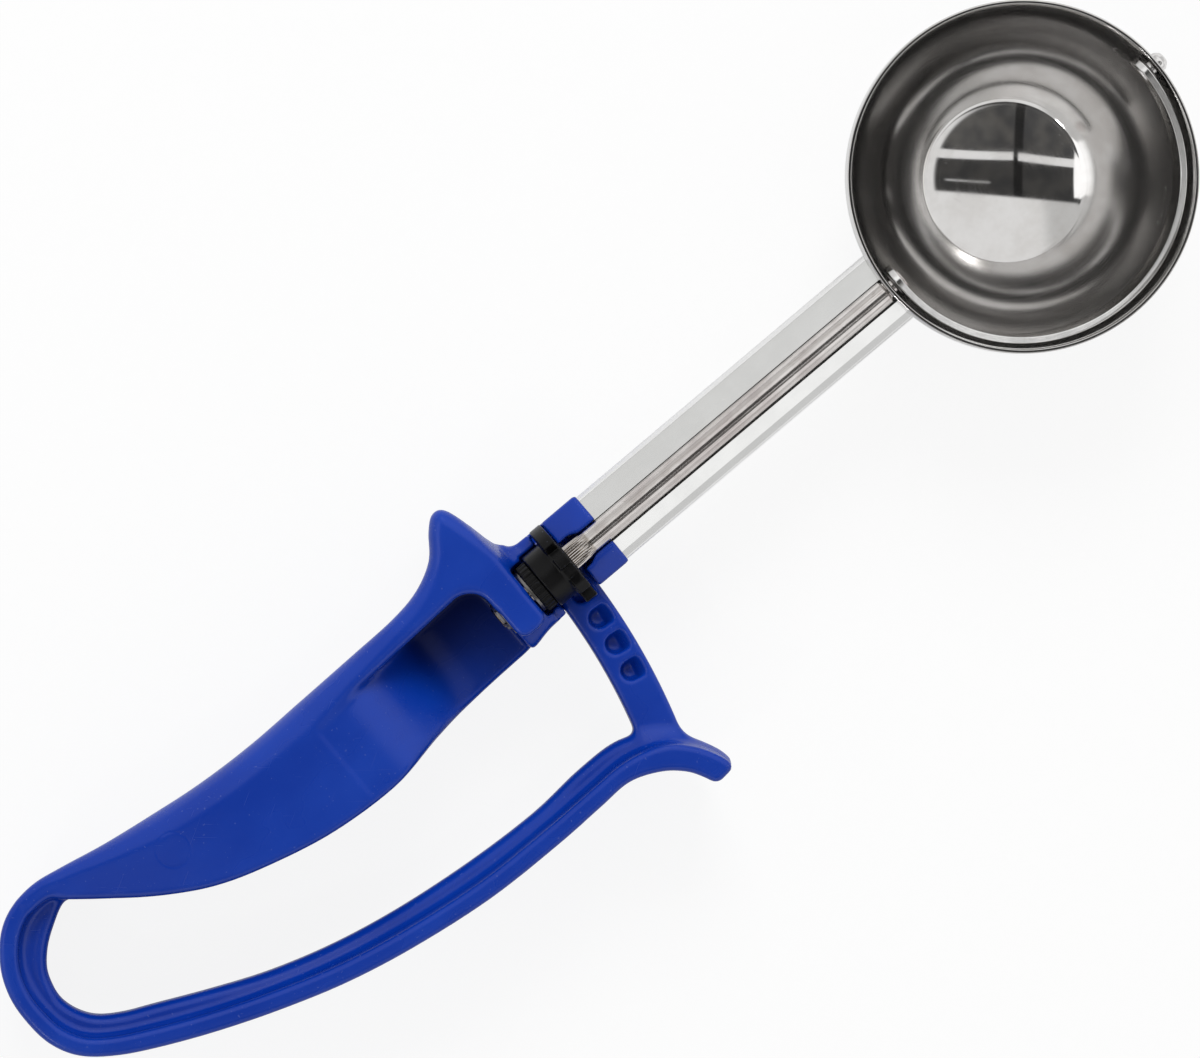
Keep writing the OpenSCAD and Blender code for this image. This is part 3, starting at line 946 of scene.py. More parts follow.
class Mould:
    """A lattice of signed distances on which a moulded solid is drawn."""

    def __init__(self, low: Sequence[float], high: Sequence[float], step: float) -> None:
        """Lays the lattice out on whole steps, so that two moulds share their points.

        Args:
            low: Lowest corner.
            high: Highest corner.
            step: Distance between two places.
        """
        self.step = step
        self.first = np.floor(np.array(low) / step)
        last = np.ceil(np.array(high) / step)
        axes = [step * np.arange(a, b + 1) for a, b in zip(self.first, last)]
        self.x = axes[0][:, None, None]
        self.y = axes[1][None, :, None]
        self.z = axes[2][None, None, :]

    def surface(self, solid: Field, rounds: int = 3) -> Skin:
        """Draws the skin of a solid.

        Args:
            solid: Signed distance at every place of the lattice.
            rounds: How often the points are evened out and put back on the skin.

        Returns:
            The skin, with its normals.
        """
        homes, spots, quads = (np.concatenate(found) for found in zip(*(
            self._crossings(solid, axis) for axis in range(3)
        )))
        used, homes = np.unique(homes, return_inverse=True)
        faces = np.searchsorted(used, quads)
        count = np.bincount(homes, minlength=len(used))
        points = np.stack([np.bincount(homes, spots[:, k], len(used)) / count for k in range(3)], 1)
        for _ in range(rounds):
            points = self._evened(points, faces)
            height, slope = self._look_up(solid, points)
            points -= slope * (height / np.maximum((slope * slope).sum(1), 0.05))[:, None]
        _, slope = self._look_up(solid, points)
        normals = slope / np.maximum(np.linalg.norm(slope, axis=1), 1e-9)[:, None]
        return Skin((points + self.first) * self.step, faces, normals)

    @staticmethod
    def _crossings(solid: Field, axis: int) -> tuple[np.ndarray, np.ndarray, np.ndarray]:
        """Finds where the skin crosses the lattice along one axis.

        Args:
            solid: Signed distance at every place of the lattice.
            axis: Number of the axis.

        Returns:
            The cells that each crossing belongs to, the crossings themselves,
            once for each of their four cells, and a face of four cells for each.
        """
        cells = np.array(solid.shape) - 1
        weight = np.array([cells[1] * cells[2], cells[2], 1])
        ahead, behind = [slice(None)] * 3, [slice(None)] * 3
        ahead[axis], behind[axis] = slice(1, None), slice(None, -1)
        a, b = solid[tuple(behind)], solid[tuple(ahead)]
        place = np.argwhere((a < 0) != (b < 0))
        others = [k for k in range(3) if k != axis]
        inner = np.all((place[:, others] > 0) & (place[:, others] < cells[others]), axis=1)
        place = place[inner]
        start, end = a[tuple(place.T)], b[tuple(place.T)]
        cross = place.astype(float)
        cross[:, axis] += start / (start - end)
        corners = []
        for p, q in ((0, 0), (1, 0), (1, 1), (0, 1)):
            cell = place.copy()
            cell[:, others[0]] -= p
            cell[:, others[1]] -= q
            corners.append(cell @ weight)
        quad = np.stack(corners, 1)
        turned_over = (start < 0) == (axis == 1)
        quad[turned_over] = quad[turned_over][:, ::-1]
        return np.concatenate(corners), np.tile(cross, (4, 1)), quad

    @staticmethod
    def _evened(points: np.ndarray, faces: np.ndarray) -> np.ndarray:
        """Moves each point half way to the middle of its neighbours.

        Args:
            points: Points of the skin.
            faces: Its faces.

        Returns:
            The moved points.
        """
        start = faces.ravel()
        end = np.roll(faces, -1, axis=1).ravel()
        count = np.bincount(start, minlength=len(points))
        middle = np.stack([np.bincount(start, points[end, k], len(points)) for k in range(3)], 1)
        return 0.5 * points + 0.5 * middle / np.maximum(count, 1)[:, None]

    @staticmethod
    def _look_up(solid: Field, points: np.ndarray, reach: float = 0.75) -> tuple[Field, np.ndarray]:
        """Looks the solid up at points between the places of the lattice.

        Args:
            solid: Signed distance at every place of the lattice.
            points: Where to look, in lattice steps.
            reach: How far to each side the slope is taken.

        Returns:
            The distance and the slope at each point.
        """
        def at(where: np.ndarray) -> Field:
            """Works out the distance between the eight places round each point.

            Args:
                where: The points, in lattice steps.

            Returns:
                One distance for each point.
            """
            base = np.clip(np.floor(where).astype(int), 0, np.array(solid.shape) - 2)
            part = where - base
            total = np.zeros(len(where))
            for corner in np.ndindex(2, 2, 2):
                share = np.prod(np.where(corner, part, 1 - part), axis=1)
                total += share * solid[tuple((base + corner).T)]
            return total

        sides = reach * np.eye(3)
        slope = np.stack([(at(points + side) - at(points - side)) / (2 * reach) for side in sides], 1)
        return at(points), slope


# --- Grip, loop and lever --------------------------------------------------


@dataclass
class SqueezeHandle:
    """The one-piece blue moulding: grip, bending loop and lever with its rack arm.

    Rows of the grip hold a point of its belly, a point of its back and how far
    the top lies below the face. Rows of loop and lever hold a point of the outer
    edge, a point of the inner edge and the thickness of the flange.
    """

    step: float = 0.4
    grip_box: tuple = ((-116, -24, -23), (10, 21, 6))
    lever_box: tuple = ((-116, -46, -23), (4, 8, 4))
    fit: float = 0.4
    draft: float = 0.06
    face_z: float = 4.6
    belly_edge: float = 1.0
    horn_edge: float = 2.4
    back_edge: float = 4.6
    back_run: tuple = (-28.0, 20.0)
    root_edge: tuple = (-101.0, 0.7, 0.16)
    root_blend: float = 0.8
    loop_rise: float = 3.2
    rise_run: tuple = (-58.0, 30.0)
    flange_top: float = 2.2
    flange_depth: float = 23.7
    flange_edge: float = 0.95
    flange_draft: float = 0.07
    flange_blend: float = 2.4
    web_z: float = -8.5
    web_half: float = 3.2
    web_edge: float = 1.5
    bead_w: float = 1.9
    bead_rise: float = 0.27
    bead_edge: float = 1.6
    bead_blend: float = 1.3
    hook_edge: float = 1.3
    block_half: float = 6.6
    block_back: float = -10.0
    block_front: float = 8.5
    block_top: float = 0.5
    block_draft: float = 0.7
    block_edge: float = 0.4
    horn_blend: float = 2.6
    belly_blend: float = 0.4
    chin: float = 6.5
    ear_from: float = 2.4
    ear_fall: float = 0.45
    ear_share: float = 0.94
    ear_edge: float = 0.45
    wall_front: float = -7.45
    wall_back: float = -12.45
    wall_tip: float = -5.1
    wall_round: float = 2.2
    wall_blend: float = 0.9
    facet_from: tuple = (-2.9, 2.0)
    facet_run: tuple = (6.6, 10.3)
    ramp_rows: tuple = (
        (-47, 5.1), (-44, 4.85), (-41, 4.3), (-38, 3.0), (-35, 0.9), (-32, -2.0), (-29, -5.2),
        (-26.5, -7.2), (-23.5, -8.2), (-20, -8.4), (-12.45, -8.4),
    )
    recess_side: float = 7.2
    recess_taper: tuple = (-14.0, 0.045)
    recess_corner: float = 4.5
    recess_edge: float = 1.4
    recess_blend: float = 1.5
    lip: float = 0.85
    lip_depth: tuple = (1.3, 0.5)
    opening_edge: float = 0.35
    belly_front: float = 2.2
    flange_back: float = -1.4
    ear_back: float = 1.35
    gear_room: float = 7.75
    hub_room: float = 5.35
    collar_room: float = 4.8
    collar_from: float = -5.0
    bore: tuple = (-17.0, -1.0, 2.05)
    rod_half: float = 2.2
    rod_floor: float = -5.5
    notch_x: float = 2.7
    notch_r: float = 3.0
    shank_back: float = 6.8
    shank_half: float = 5.3
    shank_room: tuple = (-12.3, -2.5)
    rack_r: float = 105.2
    arm_in: float = 4.3
    arm_out: float = 2.6
    arm_half: float = 3.0
    arm_tip: float = 0.9
    arm_root: float = 18.4
    arm_edge: float = 0.8
    arm_blend: float = 1.8
    pit_half: float = 1.55
    pit_inner: float = 2.2
    pit_depth: float = 2.8
    pit_climb: float = 1.7
    pit_edges: tuple = (0.9, 0.7)
    pitch_r: float = 6.4
    grip_seam: tuple = (-97.5, 14.4, -96.9, 9.9)
    seam_x: float = -90.0
    lever_side: float = -10.5
    bend_start: tuple = (-97.2, 9.6)
    bend_end: tuple = (-97.9, -12.4)
    grip_rows: tuple = (
        (-101.6, 12.5, -102.2, 14.9, 2.6), (-99.2, 12.4, -99.8, 15.4, 2.45),
        (-97.6, 12, -97.6, 15.5, 2.3), (-96.1, 10.6, -95.6, 15.3, 2.1),
        (-91.3, 6.7, -92, 14.6, 1.75),
        (-84, 1.2, -85.4, 13.2, 1.1), (-76, -3.4, -76.4, 11.8, 0.4), (-67, -6.5, -67.4, 10.7, 0),
        (-56, -9, -57.3, 10.2, 0), (-44, -9.8, -46.3, 10.4, 0), (-34, -8.6, -35.3, 10.7, 0),
        (-25, -8.2, -26.8, 11, 0), (-20, -8, -21.1, 12, 0), (-16.5, -7.9, -16.4, 14.4, 0),
        (-13.5, -7.8, -13.4, 18, 0), (-11.2, -7.4, -11.1, 19.8, 0), (-9.4, -7, -9.1, 19, 0),
        (-8.2, -6.8, -7.6, 14.6, 0.2), (-7.2, -6.7, -6.6, 10.8, 1.6), (-6.2, -6.6, -5.6, 8.3, 4.2),
    )
    loop_rows: tuple = (
        (-93.4, 14, -94.2, 9.8, 2.7), (-97.9, 15.4, -96.9, 10.2, 2.9), (-103, 15.15, -100.2, 8.6, 3),
        (-107.3, 13, -103.4, 6.4, 3.1), (-110.9, 8.9, -105.8, 3.7, 3.1),
        (-112.9, 4.2, -106.9, 0.8, 3.2), (-113.4, -0.8, -107.2, -2, 3.2),
        (-112.8, -5.8, -106.3, -5, 3.2), (-110.4, -10.3, -104.4, -7.6, 3.2),
        (-105.7, -14.2, -101, -9.9, 3.2), (-99.2, -17.8, -96.4, -12.1, 3.2),
    )
    lever_rows: tuple = (
        (-90.5, -21.8, -88, -16.1, 3.2), (-80.5, -25.7, -78.5, -20.2, 3.2),
        (-69.6, -29.2, -67.9, -23.6, 3.2), (-57.7, -31.8, -56.6, -26, 3.2),
        (-43.6, -33.7, -43, -27.7, 3.2), (-30, -34.1, -29.8, -28.4, 3.2),
        (-20.8, -33.9, -19.4, -27.8, 3.2), (-14.6, -33.8, -11.5, -28.3, 3.4),
        (-9.6, -35.8, -5.2, -31.6, 4.4), (-6.4, -38.5, -2.4, -35.8, 4.3),
        (-4.7, -41.3, -0.4, -39.9, 4.3), (-4, -43.25, 0.1, -42.85, 4.2),
    )

    @property
    def slot_back(self) -> float:
        """Rear wall of the arm's slot."""
        return -self.arm_in - self.fit

    @property
    def slot_front(self) -> float:
        """Front wall of the arm's slot."""
        return self.arm_out + self.fit

    @property
    def arm_top(self) -> float:
        """Top of the rack arm."""
        return self.web_z + self.arm_half

    def build(self) -> None:
        """Builds the three pieces of the moulding and fixes grip and lever to their bodies."""
        upper = Mould(*self.grip_box, self.step)
        solid = soft_union(self._grip(upper), self._tee(upper), self.root_blend)
        skin = upper.surface(np.maximum(solid, -AXIS_H - upper.z))
        middle = skin.middles()
        loop = self._in_loop(middle)
        lever = self._past_lever_seam(middle) & (middle[:, 1] < self.lever_side)
        piece("handle_grip", skin.part(~loop & ~lever), GRIP_BLUE, "handle_body", "handle")
        bend = piece("handle_loop", skin.part(loop), BLUE, "spring_loop")
        lower = Mould(*self.lever_box, self.step)
        solid = soft_union(self._tee(lower), self._arm(lower), self.arm_blend)
        skin = lower.surface(self._pitted(lower, solid))
        lever = self._past_lever_seam(skin.middles())
        piece("handle_lever", skin.part(lever), BLUE, "squeeze_lever", "lever")
        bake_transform(bend)

    @staticmethod
    def _past(seam: Sequence[float], middle: np.ndarray) -> np.ndarray:
        """Whether places lie past a seam, which is given by its two ends in plan."""
        u0, v0, u1, v1 = seam
        return (middle[:, 0] - u0) * (v1 - v0) - (middle[:, 1] - v0) * (u1 - u0) > 0

    def _past_lever_seam(self, middle: np.ndarray) -> np.ndarray:
        """Whether places lie past the seam between loop and lever."""
        return self._past(self.loop_rows[-1][:4], middle) | (middle[:, 0] > self.seam_x)

    def _in_loop(self, middle: np.ndarray) -> np.ndarray:
        """Whether places lie in the loop, between its two seams.

        Args:
            middle: The places.

        Returns:
            One truth value for each place.
        """
        x, y = middle[:, 0], middle[:, 1]
        past_grip, past_loop = self._past(self.grip_seam, middle), self._past_lever_seam(middle)
        return np.where(y > -2, past_grip, ~past_loop) & (x < self.seam_x)

    def _grip(self, m: Mould) -> Field:
        """The grip with its horn, recess and front block.

        Args:
            m: Lattice that it is drawn on.

        Returns:
            Its signed distances.
        """
        blend = np.where(m.y > 0, self.horn_blend, self.belly_blend)
        solid = soft_union(self._palm(m), self._block(m), blend)
        solid = soft_cut(solid, self._recess(m), self.recess_blend)
        solid = soft_cut(solid, self._wall_end(m), self.wall_blend)
        for room in self._rooms(m):
            solid = soft_cut(solid, room, self.opening_edge)
        return solid

    def _palm(self, m: Mould) -> Field:
        """The part that the hand closes round, with rounder edges towards its back.

        Args:
            m: Lattice that it is drawn on.

        Returns:
            Its signed distances.
        """
        rows = smooth_rows(self.grip_rows)
        belly, back, drop = rows[:, 0:2], rows[:, 2:4], rows[:, 4]
        plan = outline(m.x, m.y, np.concatenate([belly, back[::-1]]))
        at = (belly[:, 0] + back[:, 0]) / 2
        order = np.argsort(at)
        top = self.face_z - np.interp(m.x, at[order], drop[order])
        slope = np.gradient(top[:, 0, 0], m.step)[:, None, None]
        slab = np.maximum((m.z - top) / np.sqrt(1 + slope**2), -AXIS_H - m.z)
        to_belly, to_back = self._to_line(m, belly), self._to_line(m, back)
        share = np.clip(to_belly / (to_belly + to_back + 1e-6) * 2 - 0.5, 0, 1)
        start, run = self.back_run
        behind = np.clip((start - m.x) / run, 0, 1)
        back_edge = self.horn_edge + (self.back_edge - self.horn_edge) * behind
        edge = self.belly_edge + (back_edge - self.belly_edge) * eased(share)
        root, least, growth = self.root_edge
        edge = np.minimum(edge, least + growth * np.clip(m.x - root, 0, None))
        inset = (self.draft * share + 0.01) * np.clip(top - edge - m.z, 0, None)
        return rounded(plan + inset, slab, edge)

    @staticmethod
    def _to_line(m: Mould, line: np.ndarray) -> Field:
        """Distance in plan to the nearest point of a finely divided line.

        Args:
            m: Lattice that holds the places.
            line: Points of the line, of which every second one is enough.

        Returns:
            The distance at each place in plan.
        """
        nearest = np.full(np.broadcast_shapes(m.x.shape, m.y.shape), np.inf)
        for x, y in line[::2]:
            nearest = np.minimum(nearest, (m.x - x) ** 2 + (m.y - y) ** 2)
        return np.sqrt(nearest)

    def _block(self, m: Mould) -> Field:
        """The front block, whose two ears fall away from the rod.

        Args:
            m: Lattice that it is drawn on.

        Returns:
            Its signed distances.
        """
        profile = np.array([
            (self.block_back, -AXIS_H), (self.block_front - self.chin, -AXIS_H),
            (self.block_front, self.chin - AXIS_H), (self.block_front, self.block_top),
            (self.block_back, self.block_top),
        ])
        wider = self.block_draft + self.draft * np.minimum(m.z, 0)
        sides = between(m.y, -self.block_half, self.block_half + wider)
        block = rounded(outline(m.x, m.z, profile), sides, self.block_edge)
        ears = m.z - self.block_top + self.ear_fall * np.clip(np.abs(m.y) - self.ear_from, 0, None)
        return rounded(block, ears * self.ear_share, self.ear_edge)

    def _recess(self, m: Mould) -> Field:
        """The thumb recess, open at the belly, with a floor that climbs to the face.

        Args:
            m: Lattice that it is drawn on.

        Returns:
            Signed distances of what is cut away.
        """
        floor = smooth_rows(self.ramp_rows)
        profile = np.concatenate([floor, [(self.wall_back, FAR), (floor[0, 0], FAR)]])
        start, taper = self.recess_taper
        side = self.recess_side + taper * np.minimum(m.x - start, 0)
        depth, run = self.lip_depth
        under = np.clip((m.z - self.face_z + depth) / run, 0, 1)
        plan = rounded(m.x - self.wall_back + self.lip * under, m.y - side, self.recess_corner)
        return rounded(plan, outline(m.x, m.z, profile), self.recess_edge)

    def _wall_end(self, m: Mould) -> Field:
        """What is cut away beyond the rounded end of the bearing wall.

        Args:
            m: Lattice that it is drawn on.

        Returns:
            Its signed distances.
        """
        back = self.wall_back - self.lip
        wall = rounded(between(m.x, back, self.wall_front), self.wall_tip - m.y, self.wall_round)
        run, fall = np.array(self.facet_run) / math.hypot(*self.facet_run)
        y, z = self.facet_from
        above = (m.y - y) * run - (m.z - z) * fall
        return shared(between(m.x, back - 0.6, self.slot_back), -wall, above)

    def _rooms(self, m: Mould) -> tuple[Field, ...]:
        """The room for the pinion, the arm, the rod and the channel.

        Args:
            m: Lattice that it is drawn on.

        Returns:
            Signed distances of the flange's room, the hub's, the arm's slot, its way
            out at the belly, the rod's bore, its slot, the notch and the channel's room.
        """
        top, low = self.arm_top + self.fit, self.web_z - self.arm_half - self.fit
        front = np.where(m.z > top, self.belly_front, self.slot_front)
        around, from_rod = np.hypot(m.y, np.minimum(m.z, 0)), np.hypot(m.y, m.z)
        hub_r = np.where(m.x < self.collar_from, self.collar_room, self.hub_room)
        bore_back, bore_front, bore_r = self.bore
        from_notch = np.hypot(m.x - self.notch_x, m.y)
        return (
            shared(around - self.gear_room, between(m.x, self.flange_back, self.ear_back)),
            shared(around - hub_r, between(m.x, self.wall_front, 0.0)),
            shared(between(m.x, self.slot_back, self.slot_front), between(m.z, low, top)),
            shared(between(m.x, self.slot_back, front), m.y, low - m.z),
            shared(from_rod - bore_r, between(m.x, bore_back, bore_front)),
            shared(-m.x, np.abs(m.y) - self.rod_half, self.rod_floor - m.z),
            shared(from_notch - self.notch_r, self.rod_floor - m.z),
            shared(self.shank_back - m.x, np.abs(m.y) - self.shank_half, between(m.z, *self.shank_room)),
        )

    def _tee(self, m: Mould) -> Field:
        """The loop and the lever, with their flange, web and bead.

        Args:
            m: Lattice that it is drawn on.

        Returns:
            Its signed distances.
        """
        rows = smooth_rows(self.loop_rows + self.lever_rows)
        out, inner, thick = rows[:, 0:2], rows[:, 2:4], rows[:, 4:5]
        width = np.linalg.norm(inner - out, axis=1)[:, None]
        across = (inner - out) / width
        ahead = np.array([across[-1, 1], -across[-1, 0]])
        tip = (m.x - out[-1, 0]) * ahead[0] + (m.y - out[-1, 1]) * ahead[1]

        def band(a: np.ndarray, b: np.ndarray) -> Field:
            """Distance in plan to the band between two lines, which run on past the tip."""
            a, b = (np.vstack([line, line[-1] + 5 * ahead]) for line in (a, b))
            return rounded(outline(m.x, m.y, np.concatenate([a, b[::-1]])), tip, self.hook_edge)

        below_top = np.clip(self.flange_top - 1.1 - m.z, 0, None)
        whole = band(out, inner) + self.flange_draft * below_top
        flange = rounded(
            shared(band(out, out + across * thick), whole),
            between(m.z, self.flange_top - self.flange_depth, self.flange_top), self.flange_edge,
        )
        start, run = self.rise_run
        rise = self.loop_rise / 2 * eased(np.clip((start - m.x) / run, 0, 1))
        level = np.abs(m.z - self.web_z - rise) - self.web_half - rise
        top = self.web_z + self.web_half + 2 * rise
        inset = self.draft * np.clip(top - 1.2 - m.z, 0, None)
        web = rounded(band(out + across * thick * 0.5, inner) + inset, level, self.web_edge)
        bead_in = np.maximum(width - self.bead_w, np.minimum(thick, width * 0.5))
        bead = band(out + across * bead_in, inner - across * 0.2) + inset
        bead = rounded(bead, level - self.bead_rise, self.bead_edge)
        return soft_union(soft_union(web, bead, self.bead_blend), flange, self.flange_blend)

    def _arm(self, m: Mould) -> Field:
        """The rack arm with its rounded tip.

        Args:
            m: Lattice that it is drawn on.

        Returns:
            Its signed distances.
        """
        reach = np.hypot(m.x + self.rack_r, m.y)
        angle = np.arctan2(m.y, m.x + self.rack_r)
        half = (self.arm_in + self.arm_out) / 2
        centre = self.rack_r - self.arm_in + half
        tip, root = math.radians(self.arm_tip), math.radians(-self.arm_root)
        from_tip = np.hypot(
            m.x - (centre * math.cos(tip) - self.rack_r), m.y - centre * math.sin(tip)
        )
        plan = np.where(angle > tip, from_tip, np.abs(reach - centre)) - half
        plan = np.maximum(plan, (root - angle) * centre)
        return rounded(plan, np.abs(m.z - self.web_z) - self.arm_half, self.arm_edge)

    def _pitted(self, m: Mould, solid: Field) -> Field:
        """Cuts the rack's pits, whose floor climbs to the arm's outer edge.

        Args:
            m: Lattice that the solid is drawn on.
            solid: The lever with its arm.

        Returns:
            The solid's signed distances with the pits.
        """
        from_hinge = m.x + self.rack_r
        outward = np.clip(np.hypot(from_hinge, m.y) - self.rack_r, 0, None)
        floor = self.arm_top - self.pit_depth + self.pit_climb * outward
        pit_edge, rim_edge = self.pit_edges
        for i in range(TEETH):
            turn = -math.radians(TOOTH_PHASE + i * 360 / TOOTH_PLACES) * self.pitch_r / self.rack_r
            u = from_hinge * math.cos(turn) + m.y * math.sin(turn)
            v = m.y * math.cos(turn) - from_hinge * math.sin(turn)
            u = u - (self.rack_r - self.pit_inner + self.pit_half)
            plan = np.maximum(np.hypot(np.minimum(u, 0), v) - self.pit_half, -u - FAR)
            solid = soft_cut(solid, rounded(plan, floor - m.z, pit_edge), rim_edge)
        return solid


# --- Pinion ----------------------------------------------------------------


@dataclass
class Pinion:
    """The black pinion, its hub and the ribbed collar."""

    step: float = 0.12
    pinion_box: tuple = ((-5.4, -8, -8), (1.8, 8, 8))
    collar_box: tuple = ((-7.3, -5.2, -5.2), (-4.1, 5.2, 5.2))
    tip_r: float = 7.35
    root_r: float = 5.2
    tooth_half: float = 1.05
    smooth_from: float = 213.0
    smooth_to: float = 316.0
    flange_half: float = 1.1
    flange_edge: float = 0.22
    hub_r: float = 5.0
    hub_edge: float = 0.3
    boss_r: float = 3.5
    boss_h: float = 0.25
    boss_edge: float = 0.2
    bore_r: float = 2.3
    collar_r: float = 4.4
    collar_back: float = -6.7
    collar_edge: float = 0.25
    ribs: int = 24
    rib_depth: float = 0.25
    rib_steepness: float = 2.2

    def build(self) -> None:
        """Builds the pinion and the collar and fixes them to the rotor."""
        mould = Mould(*self.pinion_box, self.step)
        piece("pinion", mould.surface(self._pinion(mould)), BLACK, "pinion_gear", "rotor")
        mould = Mould(*self.collar_box, self.step)
        piece("ribbed_collar", mould.surface(self._collar(mould)), BLACK, "gear_collar", "rotor")

    def _flange_plan(self) -> np.ndarray:
        """Outline of the toothed flange, whose angles are taken from below.

        Returns:
            Its points in Y and Z.
        """
        degree = np.arange(0, 360, 0.5)
        smooth = (self.smooth_from <= degree) & (degree <= self.smooth_to)
        radius = np.where(smooth, self.tip_r, self.root_r)
        for i in range(TEETH):
            off = (degree - TOOTH_PHASE - i * 360 / TOOTH_PLACES + 180) % 360 - 180
            reach = self.tooth_half / np.maximum(np.abs(np.sin(np.radians(off))), 1e-6)
            tooth = np.where(np.abs(off) < 40, np.minimum(reach, self.tip_r), 0.0)
            radius = np.maximum(radius, tooth)
        angle = np.radians(degree)
        return np.stack([-radius * np.sin(angle), -radius * np.cos(angle)], 1)

    def _pinion(self, m: Mould) -> Field:
        """Flange with teeth, the hub behind it and a low boss before it.

        Args:
            m: Lattice that it is drawn on.

        Returns:
            Its signed distances.
        """
        around = np.hypot(m.y, m.z)
        flange = rounded(
            outline(m.y, m.z, self._flange_plan()), np.abs(m.x) - self.flange_half, self.flange_edge
        )
        hub = rounded(around - self.hub_r, between(m.x, HUB_BACK, 0.0), self.hub_edge)
        length = between(m.x, -1.0, self.flange_half + self.boss_h)
        boss = rounded(around - self.boss_r, length, self.boss_edge)
        solid = soft_union(soft_union(flange, hub, 0.5), boss, self.boss_edge)
        return soft_cut(solid, around - self.bore_r, self.boss_edge)

    def _collar(self, m: Mould) -> Field:
        """Collar with a groove between each pair of ribs.

        Args:
            m: Lattice that it is drawn on.

        Returns:
            Its signed distances.
        """
        around, angle = np.hypot(m.y, m.z), np.arctan2(m.z, m.y)
        groove = self.rib_depth * np.clip(np.cos(angle * self.ribs) * self.rib_steepness, -1, 1)
        side = around - self.collar_r + (self.rib_depth + groove) / 2
        solid = rounded(side, between(m.x, self.collar_back, HUB_BACK), self.collar_edge)
        return np.maximum(solid, ROD_R - around)


# --- Rod and its small parts -----------------------------------------------


@dataclass
class DriveRod:
    """The steel rod with its knurl and thin end, and what holds it."""

    tail: float = -13.85
    knurl_start: float = 1.1
    knurl_end: float = 5.4
    knurl_r: float = 2.13
    knurl_ribs: int = 30
    knurl_depth: float = 0.2
    knurl_fade: float = 2.6
    journal_start: float = 68.2
    shoulder: float = 0.3
    stake_x: float = 71.19
    stake_h: float = 0.5
    stake_r: float = 2.1
    washer_back: float = -7.3
    washer_front: float = -6.7
    washer_r: float = 3.9
    nut_front: float = -12.6
    nut_r: float = 3.7
    nut_t: float = 0.5
    nut_collar_r: float = 2.6
    nut_collar_t: float = 0.5
    nut_slits: int = 6
    slit_depth: float = 0.12
    edge: float = 0.12

    def build(self) -> None:
        """Builds the rod, its washer and its push-on nut."""
        skin = turned(self._bar(), self.knurl_ribs * 8, shape=self._knurled)
        piece("drive_rod_bar", skin, ROD_STEEL, "drive_rod", "rotor", sharp=30.0)
        skin = washer(self.washer_back, self.washer_front, ROD_R, self.washer_r, self.edge, 96, 5)
        piece("thrust_ring", skin, SHADE_DARKENED_STEEL, "thrust_washer", "rotor")
        skin = turned(self._nut(), 144, shape=self._slit)
        piece("push_on_ring", skin, SHADE_DARKENED_STEEL, "push_nut", "rotor", sharp=30.0)

    def _bar(self) -> np.ndarray:
        """Profile of the rod, whose knurl runs out gently.

        Returns:
            Its points as (place along the rod, radius).
        """
        run, rise = self.knurl_end - self.knurl_start, self.knurl_r - ROD_R
        fade = np.linspace(0, 1, 9)
        knurl = [(self.knurl_start + run * t, self.knurl_r - rise * t * t, 0) for t in fade]
        stake_end = self.stake_x + self.stake_h
        return rounded_path([
            (self.tail, 0, 0), (self.tail, ROD_R, 0.35), (HUB_BACK, ROD_R, 0),
            (HUB_BACK + 0.1, self.knurl_r, 0), *knurl,
            (self.journal_start - self.shoulder, ROD_R, 0.2), (self.journal_start, ROD_R - 0.25, 0.1),
            (self.journal_start + 0.05, JOURNAL_R, 0), (self.stake_x, JOURNAL_R, 0),
            (self.stake_x, self.stake_r, 0.12), (self.stake_x + self.stake_h * 0.7, self.stake_r, 0.2),
            (stake_end, self.stake_r * 0.6, 0.5), (stake_end, 0, 0),
        ])

    def _knurled(self, along: np.ndarray, radius: np.ndarray, angle: np.ndarray) -> np.ndarray:
        """Cuts straight ribs into the knurled stretch.

        Args:
            along: Place along the rod.
            radius: Radius of the plain rod.
            angle: Angle round the rod.

        Returns:
            The radius with the ribs.
        """
        wave = 0.5 - 0.5 * np.cos(angle * self.knurl_ribs)
        inside = (along > HUB_BACK + 0.01) & (along < self.knurl_end - 0.02)
        fading = np.clip((self.knurl_end - along) / self.knurl_fade, 0, 1)
        return np.where(inside, radius - self.knurl_depth * wave * fading, radius)

    def _nut(self) -> np.ndarray:
        """Profile of the push-on nut: a flat disc with a raised collar.

        Returns:
            Its points as (place along the rod, radius).
        """
        face, disc = self.nut_front, self.nut_front - self.nut_t
        back = disc - self.nut_collar_t
        return rounded_path([
            (face, ROD_R, 0), (face, self.nut_r, self.edge), (disc, self.nut_r, self.edge),
            (disc, self.nut_collar_r + 0.1, 0.2), (back, self.nut_collar_r - 0.2, 0.15),
            (back, ROD_R, 0), (face, ROD_R, 0),
        ])

    def _slit(self, along: np.ndarray, radius: np.ndarray, angle: np.ndarray) -> np.ndarray:
        """Cuts shallow slits into the nut's collar.

        Args:
            along: Place along the rod.
            radius: Radius of the plain nut.
            angle: Angle round the rod.

        Returns:
            The radius with the slits.
        """
        near = np.abs((angle * self.nut_slits / (2 * np.pi) + 0.5) % 1 - 0.5) < 0.06
        collar = along < self.nut_front - self.nut_t - 0.05
        return np.where(near & collar, np.minimum(radius, ROD_R + self.slit_depth), radius)


# --- Shank -----------------------------------------------------------------


